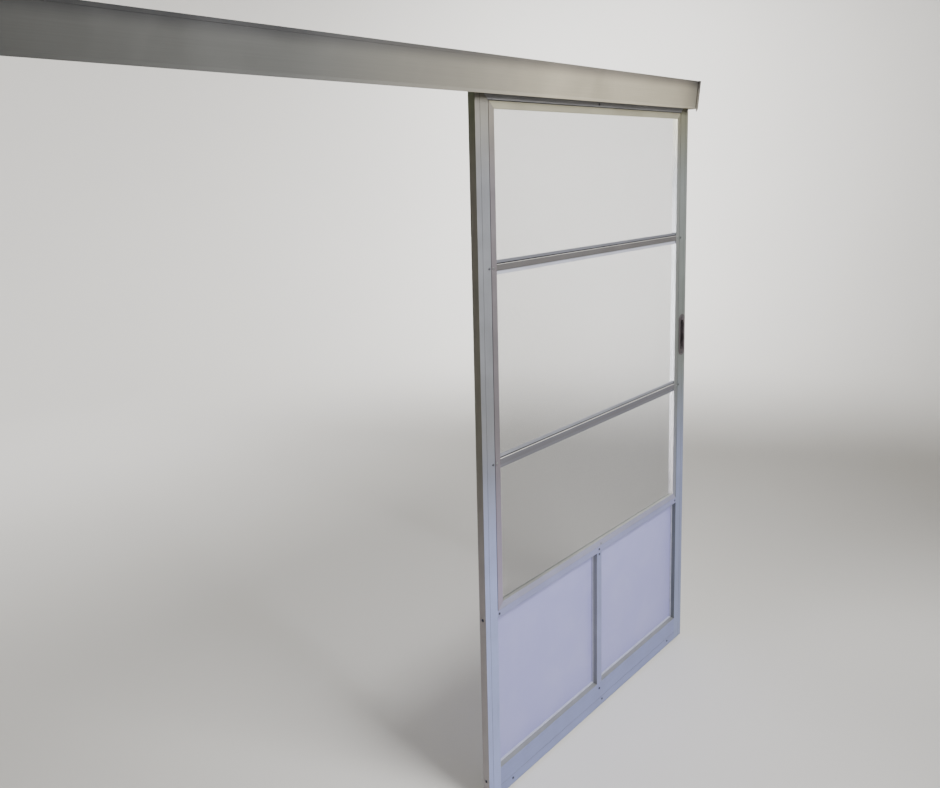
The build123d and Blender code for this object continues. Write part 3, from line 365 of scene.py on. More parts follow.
@dataclass(frozen=True)
class FasciaSheet(AnodisedExtrusion):
    """The fascia's folded sheet, anodised as the leaf is, with painted shade along its top.

    Its head tone is the painted shade along the top and its middle tone the clean sheet's. Its foot
    tone paints shade and reflection, darker and cooler, on the half that hangs past the closed
    leaf, and shade on the last stretch before the right end cap.
    """

    # Painted shade along the top, and painted shade and reflection past the leaf, to the left and
    # at the right end.
    dust_levels: Span = (-0.012, 0.024)
    past_leaf: Span = (0.4, -0.1)
    past_leaf_share: float = 0.66
    weathered: Span = (0.0, -0.6)
    right_end: Span = (0.97, 1.15)

    def tones(self, surface: Surface) -> bpy.types.Node:
        """Fade from the painted shade along the top to the clean sheet, and towards the painted
        shade at the ends.

        Args:
            surface: The material in the making.

        Returns:
            The node with the base colour.
        """
        split = surface.add("SeparateXYZ", sockets={"Vector": surface.where}).outputs
        dusty = surface.add("MapRange", SMOOTHLY, spans(split["Z"], self.dust_levels))
        sheet = surface.add("Mix", COLOURS, {"Factor": dusty, "A": self.middle, "B": self.head})
        tint: Any = "FFFFFF"
        for share in (
            spans(split["X"], self.past_leaf, (0.0, self.past_leaf_share)),
            spans(split["X"], self.weathered),
            spans(split["X"], self.right_end),
        ):
            tinted = surface.add("MapRange", SMOOTHLY, share)
            tint = surface.add("Mix", COLOURS, {"Factor": tinted, "A": tint, "B": self.foot})
        return surface.add("VectorMath", {"operation": "MULTIPLY"}, {0: sheet, 1: tint})


@dataclass(frozen=True)
class CoatedSheet:
    """Sheet metal with a powder coat: an even colour, a fine orange-peel skin, rubbed edges."""

    name: str
    colour: str
    worn: str
    roughness: float = 0.5
    gloss_change: Span = (-0.05, 0.08)
    peel_mm: float = 2.2
    peel_depth_mm: float = 0.05
    cloud_mm: float = 140.0
    faded_span: Span = (0.35, 0.75)
    edge_mm: float = 0.5
    edge_span: Span = (0.99, 0.82)
    rub: float = 0.55

    def material(self) -> bpy.types.Material:
        """Build the finish.

        Returns:
            The material.
        """
        surface = Surface(self.name)
        peel = surface.pattern(self.peel_mm)
        clouds = surface.pattern(self.cloud_mm, detail=5.0, swirl=0.6)
        edges = surface.add("Bevel", {"samples": 4}, {"Radius": self.edge_mm * MM})
        face = surface.add("NewGeometry").outputs["True Normal"]
        flat = surface.add("VectorMath", {"operation": "DOT_PRODUCT"}, {0: edges, 1: face})
        tone: Any = self.colour
        for share in (spans(clouds, self.faded_span), spans(flat, self.edge_span, (0.0, self.rub))):
            rubbed = surface.add("MapRange", SMOOTHLY, share)
            tone = surface.add("Mix", COLOURS, {"Factor": rubbed, "A": tone, "B": self.worn})
        duller, glossier = (self.roughness + change for change in self.gloss_change)
        gloss = surface.add("MapRange", SMOOTHLY, spans(clouds, NOISE, (duller, glossier)))
        skin = {"Height": peel, "Strength": 0.35, "Distance": self.peel_depth_mm * MM}
        relief = surface.add("Bump", sockets=skin | {"Normal": edges})
        return surface.finish({"Base Color": tone, "Roughness": gloss, "Normal": relief})


@dataclass(frozen=True)
class MillMetal:
    """Bare metal as rolled, drawn or plated: bright, with lines along its run and dull patches."""

    name: str
    colour: str
    dull: str
    run: Run = Run.NONE
    roughness: float = 0.34
    gloss_change: Span = (-0.08, 0.16)
    line_mm: float = 1.0  # drawing marks are finer, and are widened to show
    line_depth_mm: float = 0.02
    patch_mm: float = 9.0

    def material(self) -> bpy.types.Material:
        """Build the finish.

        Returns:
            The material.
        """
        surface = Surface(self.name)
        lines = surface.pattern(self.line_mm, self.run)
        cells = {"Vector": surface.where, "Scale": 1 / (self.patch_mm * MM), "Smoothness": 0.35}
        patches = surface.add("TexVoronoi", {"feature": "SMOOTH_F1"}, cells)
        base = surface.add("Mix", COLOURS, {"Factor": patches, "A": self.dull, "B": self.colour})
        duller, glossier = (self.roughness + change for change in self.gloss_change)
        gloss = surface.add("MapRange", SMOOTHLY, spans(lines, (0.0, 1.0), (duller, glossier)))
        drawn = {"Height": lines, "Strength": 0.3, "Distance": self.line_depth_mm * MM}
        relief = surface.add("Bump", sockets=drawn)
        look = {"Base Color": base, "Roughness": gloss, "Normal": relief, "Metallic": 1.0}
        return surface.finish(look)


@dataclass(frozen=True)
class MouldedPolymer:
    """Nylon, vinyl or rubber as moulded or extruded: low sheen, a fine grain and a little dust."""

    name: str
    colour: str
    dusty: str
    roughness: float = 0.55
    grain_mm: float = 0.9
    grain_depth_mm: float = 0.03
    dust_mm: float = 25.0
    dust_span: Span = (0.42, 0.75)
    dust: float = 0.6

    def material(self) -> bpy.types.Material:
        """Build the finish.

        Returns:
            The material.
        """
        surface = Surface(self.name)
        motes = surface.pattern(self.dust_mm, detail=5.0)
        film = surface.add("MapRange", SMOOTHLY, spans(motes, self.dust_span, (0.0, self.dust)))
        base = surface.add("Mix", COLOURS, {"Factor": film, "A": self.colour, "B": self.dusty})
        skin = {"Height": surface.pattern(self.grain_mm), "Strength": 0.4}
        skin["Distance"] = self.grain_depth_mm * MM
        relief = surface.add("Bump", sockets=skin)
        look = {"Base Color": base, "Roughness": self.roughness, "Normal": relief}
        return surface.finish(look)


@dataclass(frozen=True)
class CoatedYarn:
    """Glass yarn in a dark vinyl coat: almost matt, its tone changing slowly along a thread."""

    name: str
    colour: str
    light: str
    roughness: float = 0.62
    tone_mm: float = 12.0

    def material(self) -> bpy.types.Material:
        """Build the finish.

        Returns:
            The material.
        """
        surface = Surface(self.name)
        tone = surface.pattern(self.tone_mm, detail=3.0)
        base = surface.add("Mix", COLOURS, {"Factor": tone, "A": self.colour, "B": self.light})
        return surface.finish({"Base Color": base, "Roughness": self.roughness})


Finish = AnodisedExtrusion | CoatedSheet | MillMetal | MouldedPolymer | CoatedYarn


def deselect_all() -> None:
    """Leave edit mode and deselect every object."""
    if bpy.context.object and bpy.context.object.mode != "OBJECT":
        bpy.ops.object.mode_set(mode="OBJECT")
    bpy.ops.object.select_all(action="DESELECT")


def hold(*pieces: bpy.types.Object) -> None:
    """Select these pieces alone, with the first one active.

    Args:
        pieces: The pieces to select.
    """
    deselect_all()
    for piece in pieces:
        piece.select_set(True)
    bpy.context.view_layer.objects.active = pieces[0]


def pick(piece: bpy.types.Object, kind: str, test: Callable[[Vector, Vector], bool]) -> None:
    """Enter edit mode with the faces or edges that pass a test selected.

    Args:
        piece: The piece to edit.
        kind: FACE or EDGE.
        test: Takes a face's middle and normal, or an edge's two ends, in the piece's own space.
    """
    hold(piece)
    bpy.ops.object.mode_set(mode="EDIT")
    bpy.ops.mesh.select_mode(type=kind)
    bpy.ops.mesh.select_all(action="DESELECT")
    bpy.ops.object.mode_set(mode="OBJECT")
    mesh = piece.data
    if kind == "FACE":
        for face in mesh.polygons:
            face.select = test(face.center, face.normal)
    else:
        for edge in mesh.edges:
            edge.select = test(*(mesh.vertices[i].co for i in edge.vertices))
    bpy.ops.object.mode_set(mode="EDIT")


def block(name: str, low: Point, high: Point) -> bpy.types.Object:
    """Add a block between two corners, with its place and size applied.

    Args:
        name: The piece's name.
        low: Its lowest corner.
        high: Its highest corner.

    Returns:
        The new piece, still to be shaped.
    """
    deselect_all()
    middle = [(a + b) / 2 for a, b in zip(low, high)]
    bpy.ops.mesh.primitive_cube_add(size=1.0, location=middle)
    piece = bpy.context.object
    piece.name = name
    piece.scale = [b - a for a, b in zip(low, high)]
    bpy.ops.object.transform_apply()
    return piece


def apply_modifier(piece: bpy.types.Object, kind: str, settings: dict[str, Any]) -> None:
    """Add a modifier with its settings and apply it.

    Args:
        piece: The piece to change.
        kind: The modifier's type name.
        settings: The modifier's properties.
    """
    hold(piece)
    modifier = piece.modifiers.new(kind.title(), kind)
    for name, value in settings.items():
        setattr(modifier, name, value)
    bpy.ops.object.modifier_apply(modifier=modifier.name)


def repeat(piece: bpy.types.Object, count: int, step: Point) -> None:
    """Repeat a piece's mesh at equal steps.

    Args:
        piece: The piece to repeat.
        count: How many there are in all.
        step: The way from each to the next, in metres.
    """
    settings = {"count": count, "use_relative_offset": False, "use_constant_offset": True}
    settings["constant_offset_displace"] = step
    apply_modifier(piece, "ARRAY", settings)


def join(name: str, pieces: Iterable[bpy.types.Object]) -> bpy.types.Object:
    """Join pieces into one.

    Args:
        name: The name of the joined piece.
        pieces: The pieces, of which the first keeps its place in the list of objects.

    Returns:
        The joined piece.
    """
    parts = list(pieces)
    hold(*parts)
    if len(parts) > 1:
        bpy.ops.object.join()
    joined = bpy.context.object
    joined.name = name
    joined.data.name = name
    return joined


def settle(piece: bpy.types.Object, angle: float = 35.0) -> bpy.types.Object:
    """Put a piece's place into its mesh, turn its faces outwards and smooth its shading.

    Args:
        piece: The finished piece.
        angle: Edges sharper than this many degrees stay sharp.

    Returns:
        The same piece.
    """
    hold(piece)
    bpy.ops.object.transform_apply()
    bpy.ops.object.mode_set(mode="EDIT")
    bpy.ops.mesh.select_all(action="SELECT")
    bpy.ops.mesh.normals_make_consistent(inside=False)
    bpy.ops.object.mode_set(mode="OBJECT")
    bpy.ops.object.shade_smooth_by_angle(angle=math.radians(angle))
    return piece


def place_copy(
    master: bpy.types.Object, place: Point, axis: Point, turn: float = 0.0
) -> bpy.types.Object:
    """Copy a piece that was modelled along +Z to a place, along another axis.

    Args:
        master: The piece to copy, at the origin.
        place: Where the copy's origin goes.
        axis: The way the copy's +Z points.
        turn: How far it is turned about its own axis, in degrees.

    Returns:
        The copy, with its own mesh.
    """
    copy = master.copy()
    copy.data = master.data.copy()
    bpy.context.scene.collection.objects.link(copy)
    aim = Vector(axis).to_track_quat("Z", "X").to_matrix().to_4x4()
    spin = Matrix.Rotation(math.radians(turn), 4, "Z")
    copy.matrix_world = Matrix.Translation(place) @ aim @ spin
    return copy


def dress(piece: bpy.types.Object, material: bpy.types.Material) -> None:
    """Give a piece one material all over.

    Args:
        piece: A new piece or a node of the frame.
        material: Its finish.
    """
    piece.data.materials.clear()
    piece.data.materials.append(material)


def fit(piece: bpy.types.Object, body: str, slot: str, *nodes: str) -> None:
    """Let a finished piece ride on a body and stand for nodes of the frame.

    Args:
        piece: The finished piece.
        body: The body that carries it.
        slot: Not used.
        nodes: The nodes it stands for.
    """
    if nodes:
        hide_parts(*nodes)
    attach(piece, body)
    log.info("%s rides on %s, %d faces", piece.name, body, len(piece.data.polygons))


@dataclass
class Assembly:
    """A part of the object whose nodes of the frame are dressed, or stood for by new pieces."""

    nodes: dict[str, bpy.types.Object]

    def dress(self, finish: Finish, *names: str) -> None:
        """Give nodes of the frame one finish all over.

        Args:
            finish: Their finish.
            names: The nodes.
        """
        material = finish.material()
        for name in names:
            dress(self.nodes[name], material)

    def dress_members(self, rows: Iterable[tuple[str, str, str, str, Run]]) -> None:
        """Finish anodised members, each with its grain along its run.

        Args:
            rows: Each member's node, its tones at head, middle and foot, and its run.
        """
        for node, *look in rows:
            left = LEFT_FACES.get(node)
            self.dress(AnodisedExtrusion(f"anodised_{node}", *look, left_faces=left), node)


@dataclass
class Leaf(Assembly):
    """The leaf's own frame: stiles, rails, kick panels and the plugs in its feet."""

    def dress_frame(self) -> None:
        """Finish the stiles and rails."""
        # Anodised aluminium: satin grey, painted bluer down the front as light reflected from the
        # floor, with each member's tones painted to the light and shade on it, the right stile
        # darker as painted shade.
        rows = (
            ("stile_left", "7D7A71", "7D7F84", "9AA4CF", Run.UPRIGHT),
            ("stile_right", "706F5D", "767B79", "8B94B7", Run.UPRIGHT),
            ("kick_mullion", "949693", "949693", "8D93BB", Run.UPRIGHT),
            ("kick_rail", "949693", "949693", "9094BC", Run.LEVEL),
            ("bottom_rail", "949693", "949693", "878FB8", Run.LEVEL),
            ("top_rail", "98989C", "A6A298", "A6A298", Run.LEVEL),
        )
        self.dress_members(rows)

    def dress_panels(self) -> None:
        """Finish the kick panels, the beads that hold them, the plugs and the corner keys."""
        # Powder-coated sheet: an even lilac grey, matt enough to show no reflection.
        sheet = CoatedSheet("coated_kick_sheet", "9B9CD0", "A3A4D3")
        self.dress(sheet, "kick_panel_left", "kick_panel_right")
        # Extruded vinyl: a thin paler line round each panel, with a soft shine.
        bead = MouldedPolymer("vinyl_bead", "B4B6CC", "A0A2B4", roughness=0.42)
        self.dress(bead, "kick_bead_left", "kick_bead_right")
        # Moulded nylon: black ends in the stiles' open tubes.
        self.dress(MouldedPolymer("black_plug", "1E1E1F", "3A3835"), "stile_plugs")
        # Cast aluminium: hidden in the corners, seen only where the tubes are open.
        self.dress(MillMetal("cast_key", "9A9B9C", "7F8082", patch_mm=5.0), "corner_keys")

    def build(self) -> None:
        """Dress every node of the leaf's frame."""
        self.dress_frame()
        self.dress_panels()
        log.info("leaf frame dressed")


@dataclass
class WovenScreen(Assembly):
    """Insect screen cloth as real threads, one layer of uprights behind one of levels."""

    across_mm: float = 1.41  # 18 threads to the inch
    upwards_mm: float = 1.59  # 16 threads to the inch
    thread_mm: float = 0.28
    lap: float = 0.9
    sides: int = 6
    smooth_angle: float = 70.0

    def threads(
        self, name: str, low: Vector, high: Vector, run: Run, depth: float
    ) -> bpy.types.Object:
        """Lay one layer of parallel threads over a rectangle.

        Args:
            name: The layer's name.
            low: The cloth's lowest corner.
            high: The cloth's highest corner.
            run: The way the threads run.
            depth: The level of the threads' middles along Y.

        Returns:
            The layer as one mesh.
        """
        upright = run is Run.UPRIGHT
        pitch = (self.across_mm if upright else self.upwards_mm) * MM
        span = (high.x - low.x) if upright else (high.z - low.z)
        length = (high.z - low.z) if upright else (high.x - low.x)
        count = int(span / pitch)
        start = (span - (count - 1) * pitch) / 2
        middle = (low + high) / 2
        first_upright = (low.x + start, depth, middle.z)
        first_level = (middle.x, depth, low.z + start)
        deselect_all()
        bpy.ops.mesh.primitive_cylinder_add(
            vertices=self.sides,
            radius=self.thread_mm * MM / 2,
            depth=length,
            location=first_upright if upright else first_level,
            rotation=(0, 0, 0) if upright else (0, math.pi / 2, 0),
        )
        layer = bpy.context.object
        layer.name = name
        bpy.ops.object.transform_apply()
        step = (pitch, 0.0, 0.0) if upright else (0.0, 0.0, pitch)
        repeat(layer, count, step)
        return layer

    def build(self) -> None:
        """Weave the cloth of each of the three openings."""
        # Vinyl-coated glass yarn: a fine dark veil that the light behind shows through.
        yarn = CoatedYarn("coated_yarn", "3A3B3D", "55565A").material()
        apart = self.thread_mm * MM / 2 * self.lap
        for place in OPENINGS:
            node = f"screen_{place}"
            low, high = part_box(node)
            depth = (low.y + high.y) / 2
            uprights = self.threads("uprights", low, high, Run.UPRIGHT, depth + apart)
            levels = self.threads("levels", low, high, Run.LEVEL, depth - apart)
            cloth = join(f"screen_cloth_{place}", [uprights, levels])
            hold(cloth)
            bpy.ops.object.shade_smooth_by_angle(angle=math.radians(self.smooth_angle))
            dress(cloth, yarn)
            fit(cloth, "door", "screen_cloth", node)


@dataclass
class ScreenInsert(Assembly):
    """The mitred frame that holds the screens, its crossbars and the ribbed spline behind."""

    spline_mm: float = 3.3
    spline_gap_mm: float = 0.1
    corner_mm: float = 3.0
    corner_steps: int = 4

    def dress_insert(self) -> None:
        """Finish the insert's four members, the crossbars, the rivets and the corner keys."""
        # Anodised aluminium: the leaf's satin grey, a little warmer, with each member's head,
        # middle and foot tones painted to the light and shade that fall on it.
        rows = (
            ("insert_left", "7A756C", "6F6A6E", "948BA0", Run.UPRIGHT),
            ("insert_right", "73705E", "767977", "878A97", Run.UPRIGHT),
            ("insert_top", "928E7A", "949693", "949693", Run.LEVEL),
            ("insert_bottom", "949693", "949693", "9899B2", Run.LEVEL),
        )
        self.dress_members(rows)
        # Crossbars: node, then the rib's, the upper flange's and the lower flange's tones, all
        # painted to the light on each bar; the lower flange is painted light on the upper bar and
        # painted shade under the rib on the lower bar.
        for node, rib, upper, lower in (
            ("crossbar_upper", "5E5C5C", "70727A", "B4B6C4"),
            ("crossbar_lower", "66666C", "8A8C94", "6E6E76"),
        ):
            low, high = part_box(node)
            name, middle = f"anodised_{node}", (low.z + high.z) / 2
            bar = RibbedBar(name, rib, upper, lower, Run.LEVEL, middle_height=middle)
            self.dress(bar, node)
        # Moulded nylon: black, inside the insert's corners.
        self.dress(MouldedPolymer("key_nylon", "222223", "3A3A3A"), "insert_keys")
        # Bare aluminium: a small bright dot at each crossbar's end.
        self.dress(MillMetal("bare_rivet", "A9ADAD", "8D9392"), "insert_rivets")

    def spline_ring(self, low: Vector, high: Vector, depth: float) -> bpy.types.Object:
        """Run one length of round spline round an opening.

        Args:
            low: The lowest corner of the screen in the opening.
            high: The highest corner of the screen.
            depth: The level of the spline's middle along Y.

        Returns:
            The spline as a mesh.
        """
        grow = (self.spline_mm / 2 + self.spline_gap_mm) * MM
        deselect_all()
        middle = ((low.x + high.x) / 2, depth, (low.z + high.z) / 2)
        bpy.ops.mesh.primitive_plane_add(size=1.0, location=middle, rotation=(math.pi / 2, 0, 0))
        ring = bpy.context.object
        ring.scale = (high.x - low.x + 2 * grow, high.z - low.z + 2 * grow, 1.0)
        bpy.ops.object.transform_apply()
        bpy.ops.object.mode_set(mode="EDIT")
        bpy.ops.mesh.select_all(action="SELECT")
        corner = self.corner_mm * MM
        bpy.ops.mesh.bevel(offset=corner, segments=self.corner_steps, affect="VERTICES")
        bpy.ops.mesh.select_all(action="SELECT")
        bpy.ops.mesh.delete(type="ONLY_FACE")
        bpy.ops.object.mode_set(mode="OBJECT")
        bpy.ops.object.convert(target="CURVE")
        ring = bpy.context.object
        ring.data.bevel_depth = self.spline_mm * MM / 2
        ring.data.bevel_resolution = 2
        bpy.ops.object.convert(target="MESH")
        return bpy.context.object

    def build_splines(self) -> None:
        """Model the splines of the three openings as one piece."""
        # Foamed rubber: a dull black cord, grained where its ribs are too fine to model.
        rubber = MouldedPolymer(
            "spline_rubber", "1B1B1C", "3B3A37", grain_mm=1.2, grain_depth_mm=0.12
        ).material()
        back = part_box("splines")[1].y - self.spline_mm * MM / 2
        rings = [self.spline_ring(*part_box(f"screen_{place}"), back) for place in OPENINGS]
        splines = settle(join("ribbed_splines", rings), 60.0)
        dress(splines, rubber)
        fit(splines, "door", "spline_rubber", "splines")

    def build(self) -> None:
        """Dress the insert and model its splines."""
        self.dress_insert()
        self.build_splines()


@dataclass
class Fasteners(Assembly):
    """Pan-head screws with a cross recess, modelled once and copied to each place."""

    head_mm: float = 3.6
    rise_mm: float = 1.6
    rim_mm: float = 0.8
    shank_mm: float = 1.8
    arm_mm: float = 4.4
    slot_mm: float = 1.0
    recess_mm: float = 1.1
    shoulder_mm: float = 0.5
    crown_mm: float = 0.8
    head_sides: int = 28
    first_turn: float = 12.0
    next_turn: float = 37.0

    def screw(self, shank_length: float) -> bpy.types.Object:
        """Model one screw with its head's seat at the origin and its head along +Z.

        Args:
            shank_length: How far the shank goes into the work, in metres.

        Returns:
            The screw.
        """
        deselect_all()
        rim = self.rim_mm * MM
        half_rise = (self.rise_mm - self.rim_mm) * MM / 2
        bpy.ops.mesh.primitive_cylinder_add(
            vertices=self.head_sides, radius=self.head_mm * MM, depth=rim, location=(0, 0, rim / 2)
        )
        screw = bpy.context.object
        bpy.ops.object.transform_apply()
        pick(screw, "FACE", lambda middle, normal: normal.z > SQUARE)
        bpy.ops.mesh.inset(thickness=self.shoulder_mm * MM, depth=half_rise)
        bpy.ops.mesh.inset(thickness=self.crown_mm * MM, depth=half_rise)
        pick(screw, "FACE", lambda middle, normal: normal.z < -SQUARE)
        bpy.ops.mesh.inset(thickness=(self.head_mm - self.shank_mm) * MM)
        bpy.ops.mesh.extrude_region_move(TRANSFORM_OT_translate={"value": (0, 0, -shank_length)})
        floor = (self.rise_mm - self.recess_mm) * MM
        top = 2 * self.rise_mm * MM
        for reach, width in ((self.arm_mm, self.slot_mm), (self.slot_mm, self.arm_mm)):
            half_x, half_y = reach * MM / 2, width * MM / 2
            cutter = block("recess", (-half_x, -half_y, floor), (half_x, half_y, top))
            cut = {"operation": "DIFFERENCE", "object": cutter, "solver": "EXACT"}
            apply_modifier(screw, "BOOLEAN", cut)
            bpy.data.objects.remove(cutter)
        return screw

    def spread(self, name: str, node: str, axis: Point, length: float) -> bpy.types.Object:
        """Copy the screw to every place of one node.

        Args:
            name: The new piece's name.
            node: The node it stands for.
            axis: The way the heads face.
            length: The shanks' length, in metres.

        Returns:
            The screws as one piece.
        """
        master = self.screw(length)
        copies = [
            place_copy(master, seat, axis, self.next_turn * i + self.first_turn)
            for i, seat in enumerate(self.seats(node, axis))
        ]
        bpy.data.objects.remove(master)
        return settle(join(name, copies))

    def seats(self, node: str, axis: Point) -> list[Point]:
        """Read where each head of a node sits from the node's own solids.

        Args:
            node: A node whose solids are screws along one axis.
            axis: The way the heads face.

        Returns:
            The middle of each head's seat.
        """
        piece = self.nodes[node].copy()
        piece.data = piece.data.copy()
        piece.parent = None
        bpy.context.scene.collection.objects.link(piece)
        hold(piece)
        bpy.ops.object.mode_set(mode="EDIT")
        bpy.ops.mesh.select_all(action="SELECT")
        bpy.ops.mesh.remove_doubles(threshold=TOUCH)
        bpy.ops.mesh.separate(type="LOOSE")
        bpy.ops.object.mode_set(mode="OBJECT")
        heads = []
        way = Vector(axis)
        for part in list(bpy.context.selected_objects):
            points = [v.co.copy() for v in part.data.vertices]
            tip = max(p.dot(way) for p in points)
            middle = sum(points, Vector()) / len(points)
            seat = middle + way * (tip - self.rise_mm * MM - middle.dot(way))
            centre = [(min(p[i] for p in points) + max(p[i] for p in points)) / 2 for i in range(3)]
            heads.append(tuple(seat[i] if abs(way[i]) > 0.5 else centre[i] for i in range(3)))
            bpy.data.objects.remove(part)
        return sorted(heads)

    def build(self) -> None:
        """Model the screws of the leaf, the pull, the hangers, the track and the fascia."""
        front, up, down = (0.0, -1.0, 0.0), (0.0, 0.0, 1.0), (0.0, 0.0, -1.0)
        # Stainless steel: dark grey heads with a dull shine.
        steel = MillMetal("stainless_screw", "6F7074", "4C4D51", patch_mm=3.0).material()
        for name, node, body, axis, length in (
            ("leaf_screws", "face_screws", "door", front, 9 * MM),
            ("pull_screws_crossed", "pull_screws", "door", front, 9 * MM),
            ("hanger_screws", "plate_screws", "door", up, 13 * MM),
            ("fascia_screws_crossed", "fascia_screws", "header", up, 4.2 * MM),
            ("track_screws_crossed", "track_screws", "header", down, 5.5 * MM),
        ):
            screws = self.spread(name, node, axis, length)
            dress(screws, steel)
            fit(screws, body, "screw_steel", node)
        # Zinc-plated steel: seen only down the access holes in the stiles' edges.
        self.dress(MillMetal("hidden_screw", "8C8D90", "6A6B6F"), "frame_screws")


@dataclass
class PullAndLatch(Assembly):
    """The flush pull with its thumb lever, and the hook, case and keeper that it works with."""

    thumb_mm: float = 12.7
    foot_mm: float = 1.5
    stem_mm: float = 5.0
    stem_inset_mm: float = 3.0
    ridge_count: int = 4
    ridge_mm: float = 0.9
    ridge_pitch_mm: float = 1.53
    ridge_rise_mm: float = 0.3
    ridge_root_mm: float = 0.4
    ridge_inset_mm: float = 1.5
    edge_mm: float = 0.6
    fine_edge_mm: float = 0.3

    def thumb(self, low: Vector, high: Vector) -> bpy.types.Object:
        """Model the part that the thumb lifts, its upper front edge cut away in a slope.

        Args:
            low: The lever's lowest corner.
            high: The lever's highest corner.

        Returns:
            The thumb piece.
        """
        thumb = block("thumb", tuple(low), (high.x, low.y + self.thumb_mm * MM, high.z))
        corner = Vector((low.y, high.z))
        pick(thumb, "EDGE", lambda *ends: max((end.yz - corner).length for end in ends) < TOUCH)
        bpy.ops.mesh.bevel(offset=(high.z - low.z) / 2, segments=1)
        edge = {"width": self.edge_mm * MM, "segments": 2, "limit_method": "ANGLE"}
        apply_modifier(thumb, "BEVEL", edge)
        return thumb

    def ridges(self, low: Vector, high: Vector) -> bpy.types.Object:
        """Model the grip ridges on the lever's front.

        Args:
            low: The lever's lowest corner.
            high: The lever's highest corner.

        Returns:
            The ridges as one mesh.
        """
        inset = self.ridge_inset_mm * MM
        bottom = low.z + self.ridge_mm * MM
        start = (low.x + inset, low.y - self.ridge_rise_mm * MM, bottom)
        end = (high.x - inset, low.y + self.ridge_root_mm * MM, bottom + self.ridge_mm * MM)
        ridge = block("ridge", start, end)
        apply_modifier(ridge, "BEVEL", {"width": self.fine_edge_mm * MM, "segments": 2})
        repeat(ridge, self.ridge_count, (0.0, 0.0, self.ridge_pitch_mm * MM))
        return ridge

    def lever(self) -> None:
        """Model the thumb lever with its stem and foot, in its solid's own box."""
        low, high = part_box("latch_lever")
        middle_x, half_stem = (low.x + high.x) / 2, self.stem_mm * MM / 2
        stem_inset = self.stem_inset_mm * MM
        thumb_back, foot_front = low.y + self.thumb_mm * MM, high.y - self.foot_mm * MM
        stem = block(
            "stem",
            (middle_x - half_stem, thumb_back, low.z + stem_inset),
            (middle_x + half_stem, foot_front, high.z - stem_inset),
        )
        foot = block("foot", (low.x, foot_front, low.z), tuple(high))
        apply_modifier(foot, "BEVEL", {"width": self.fine_edge_mm * MM, "segments": 1})
        parts = [self.thumb(low, high), self.ridges(low, high), stem, foot]
        lever = settle(join("thumb_lever", parts))
        # Moulded nylon: a deeper black than the coated pull round it.
        nylon = MouldedPolymer("lever_nylon", "101011", "2C2B2B", roughness=0.4)
        dress(lever, nylon.material())
        fit(lever, "latch_lever", "pull_black", "latch_lever")

    def build(self) -> None:
        """Dress the pull, hook, case and keeper, and model the lever."""
        # Powder coat: a warm black, rubbed paler along the edges that fingers pass.
        coat = CoatedSheet(
            "pull_powder_coat", "3B3638", "5C5659", roughness=0.42, peel_mm=0.8, cloud_mm=30.0
        )
        self.dress(coat, "flush_pull")
        # Zinc plate: bright grey with dull flecks.
        self.dress(MillMetal("zinc_plate", "B4B6B2", "8F928F"), "latch_hook", "latch_case")
        # Brushed stainless steel: fine upright lines with a long highlight.
        plate = MillMetal("brushed_keeper", "B0B1B0", "9A9B9A", Run.UPRIGHT, roughness=0.3)
        self.dress(plate, "keeper")
        self.lever()


@dataclass
class Header(Assembly):
    """The mounting angle, the track, the folded fascia and the end stops."""

    def build(self) -> None:
        """Dress the header's nodes."""
        # Anodised sheet: a flat satin face, with painted shade along its top and painted shade and
        # reflection, darker and cooler, to the left and at the right end.
        tones = ("656058", "9A9381", "868D9C")
        sheet = {"roughness": 0.6, "cloud_mm": 220.0, "cloud_depth": 0.1}
        fascia = FasciaSheet("anodised_fascia", *tones, Run.LEVEL, **sheet)
        self.dress(fascia, "fascia", "fascia_cap_left", "fascia_cap_right")
        # Mill-finish aluminium: bright, with level die lines and slow dull patches.
        mill = MillMetal("mill_aluminium", "B9BABB", "9D9E9F", Run.LEVEL, patch_mm=60.0)
        self.dress(mill, "header_angle", "header_track")
        # Rubber: two dull black blocks at the track's ends.
        self.dress(MouldedPolymer("stop_rubber", "1C1C1D", "3A3937"), "stop_left", "stop_right")
        # Zinc plate: a pale head on each black stop.
        self.dress(MillMetal("zinc_stop_screw", "B4B6B2", "8F928F"), "stop_screws")
        log.info("header dressed")


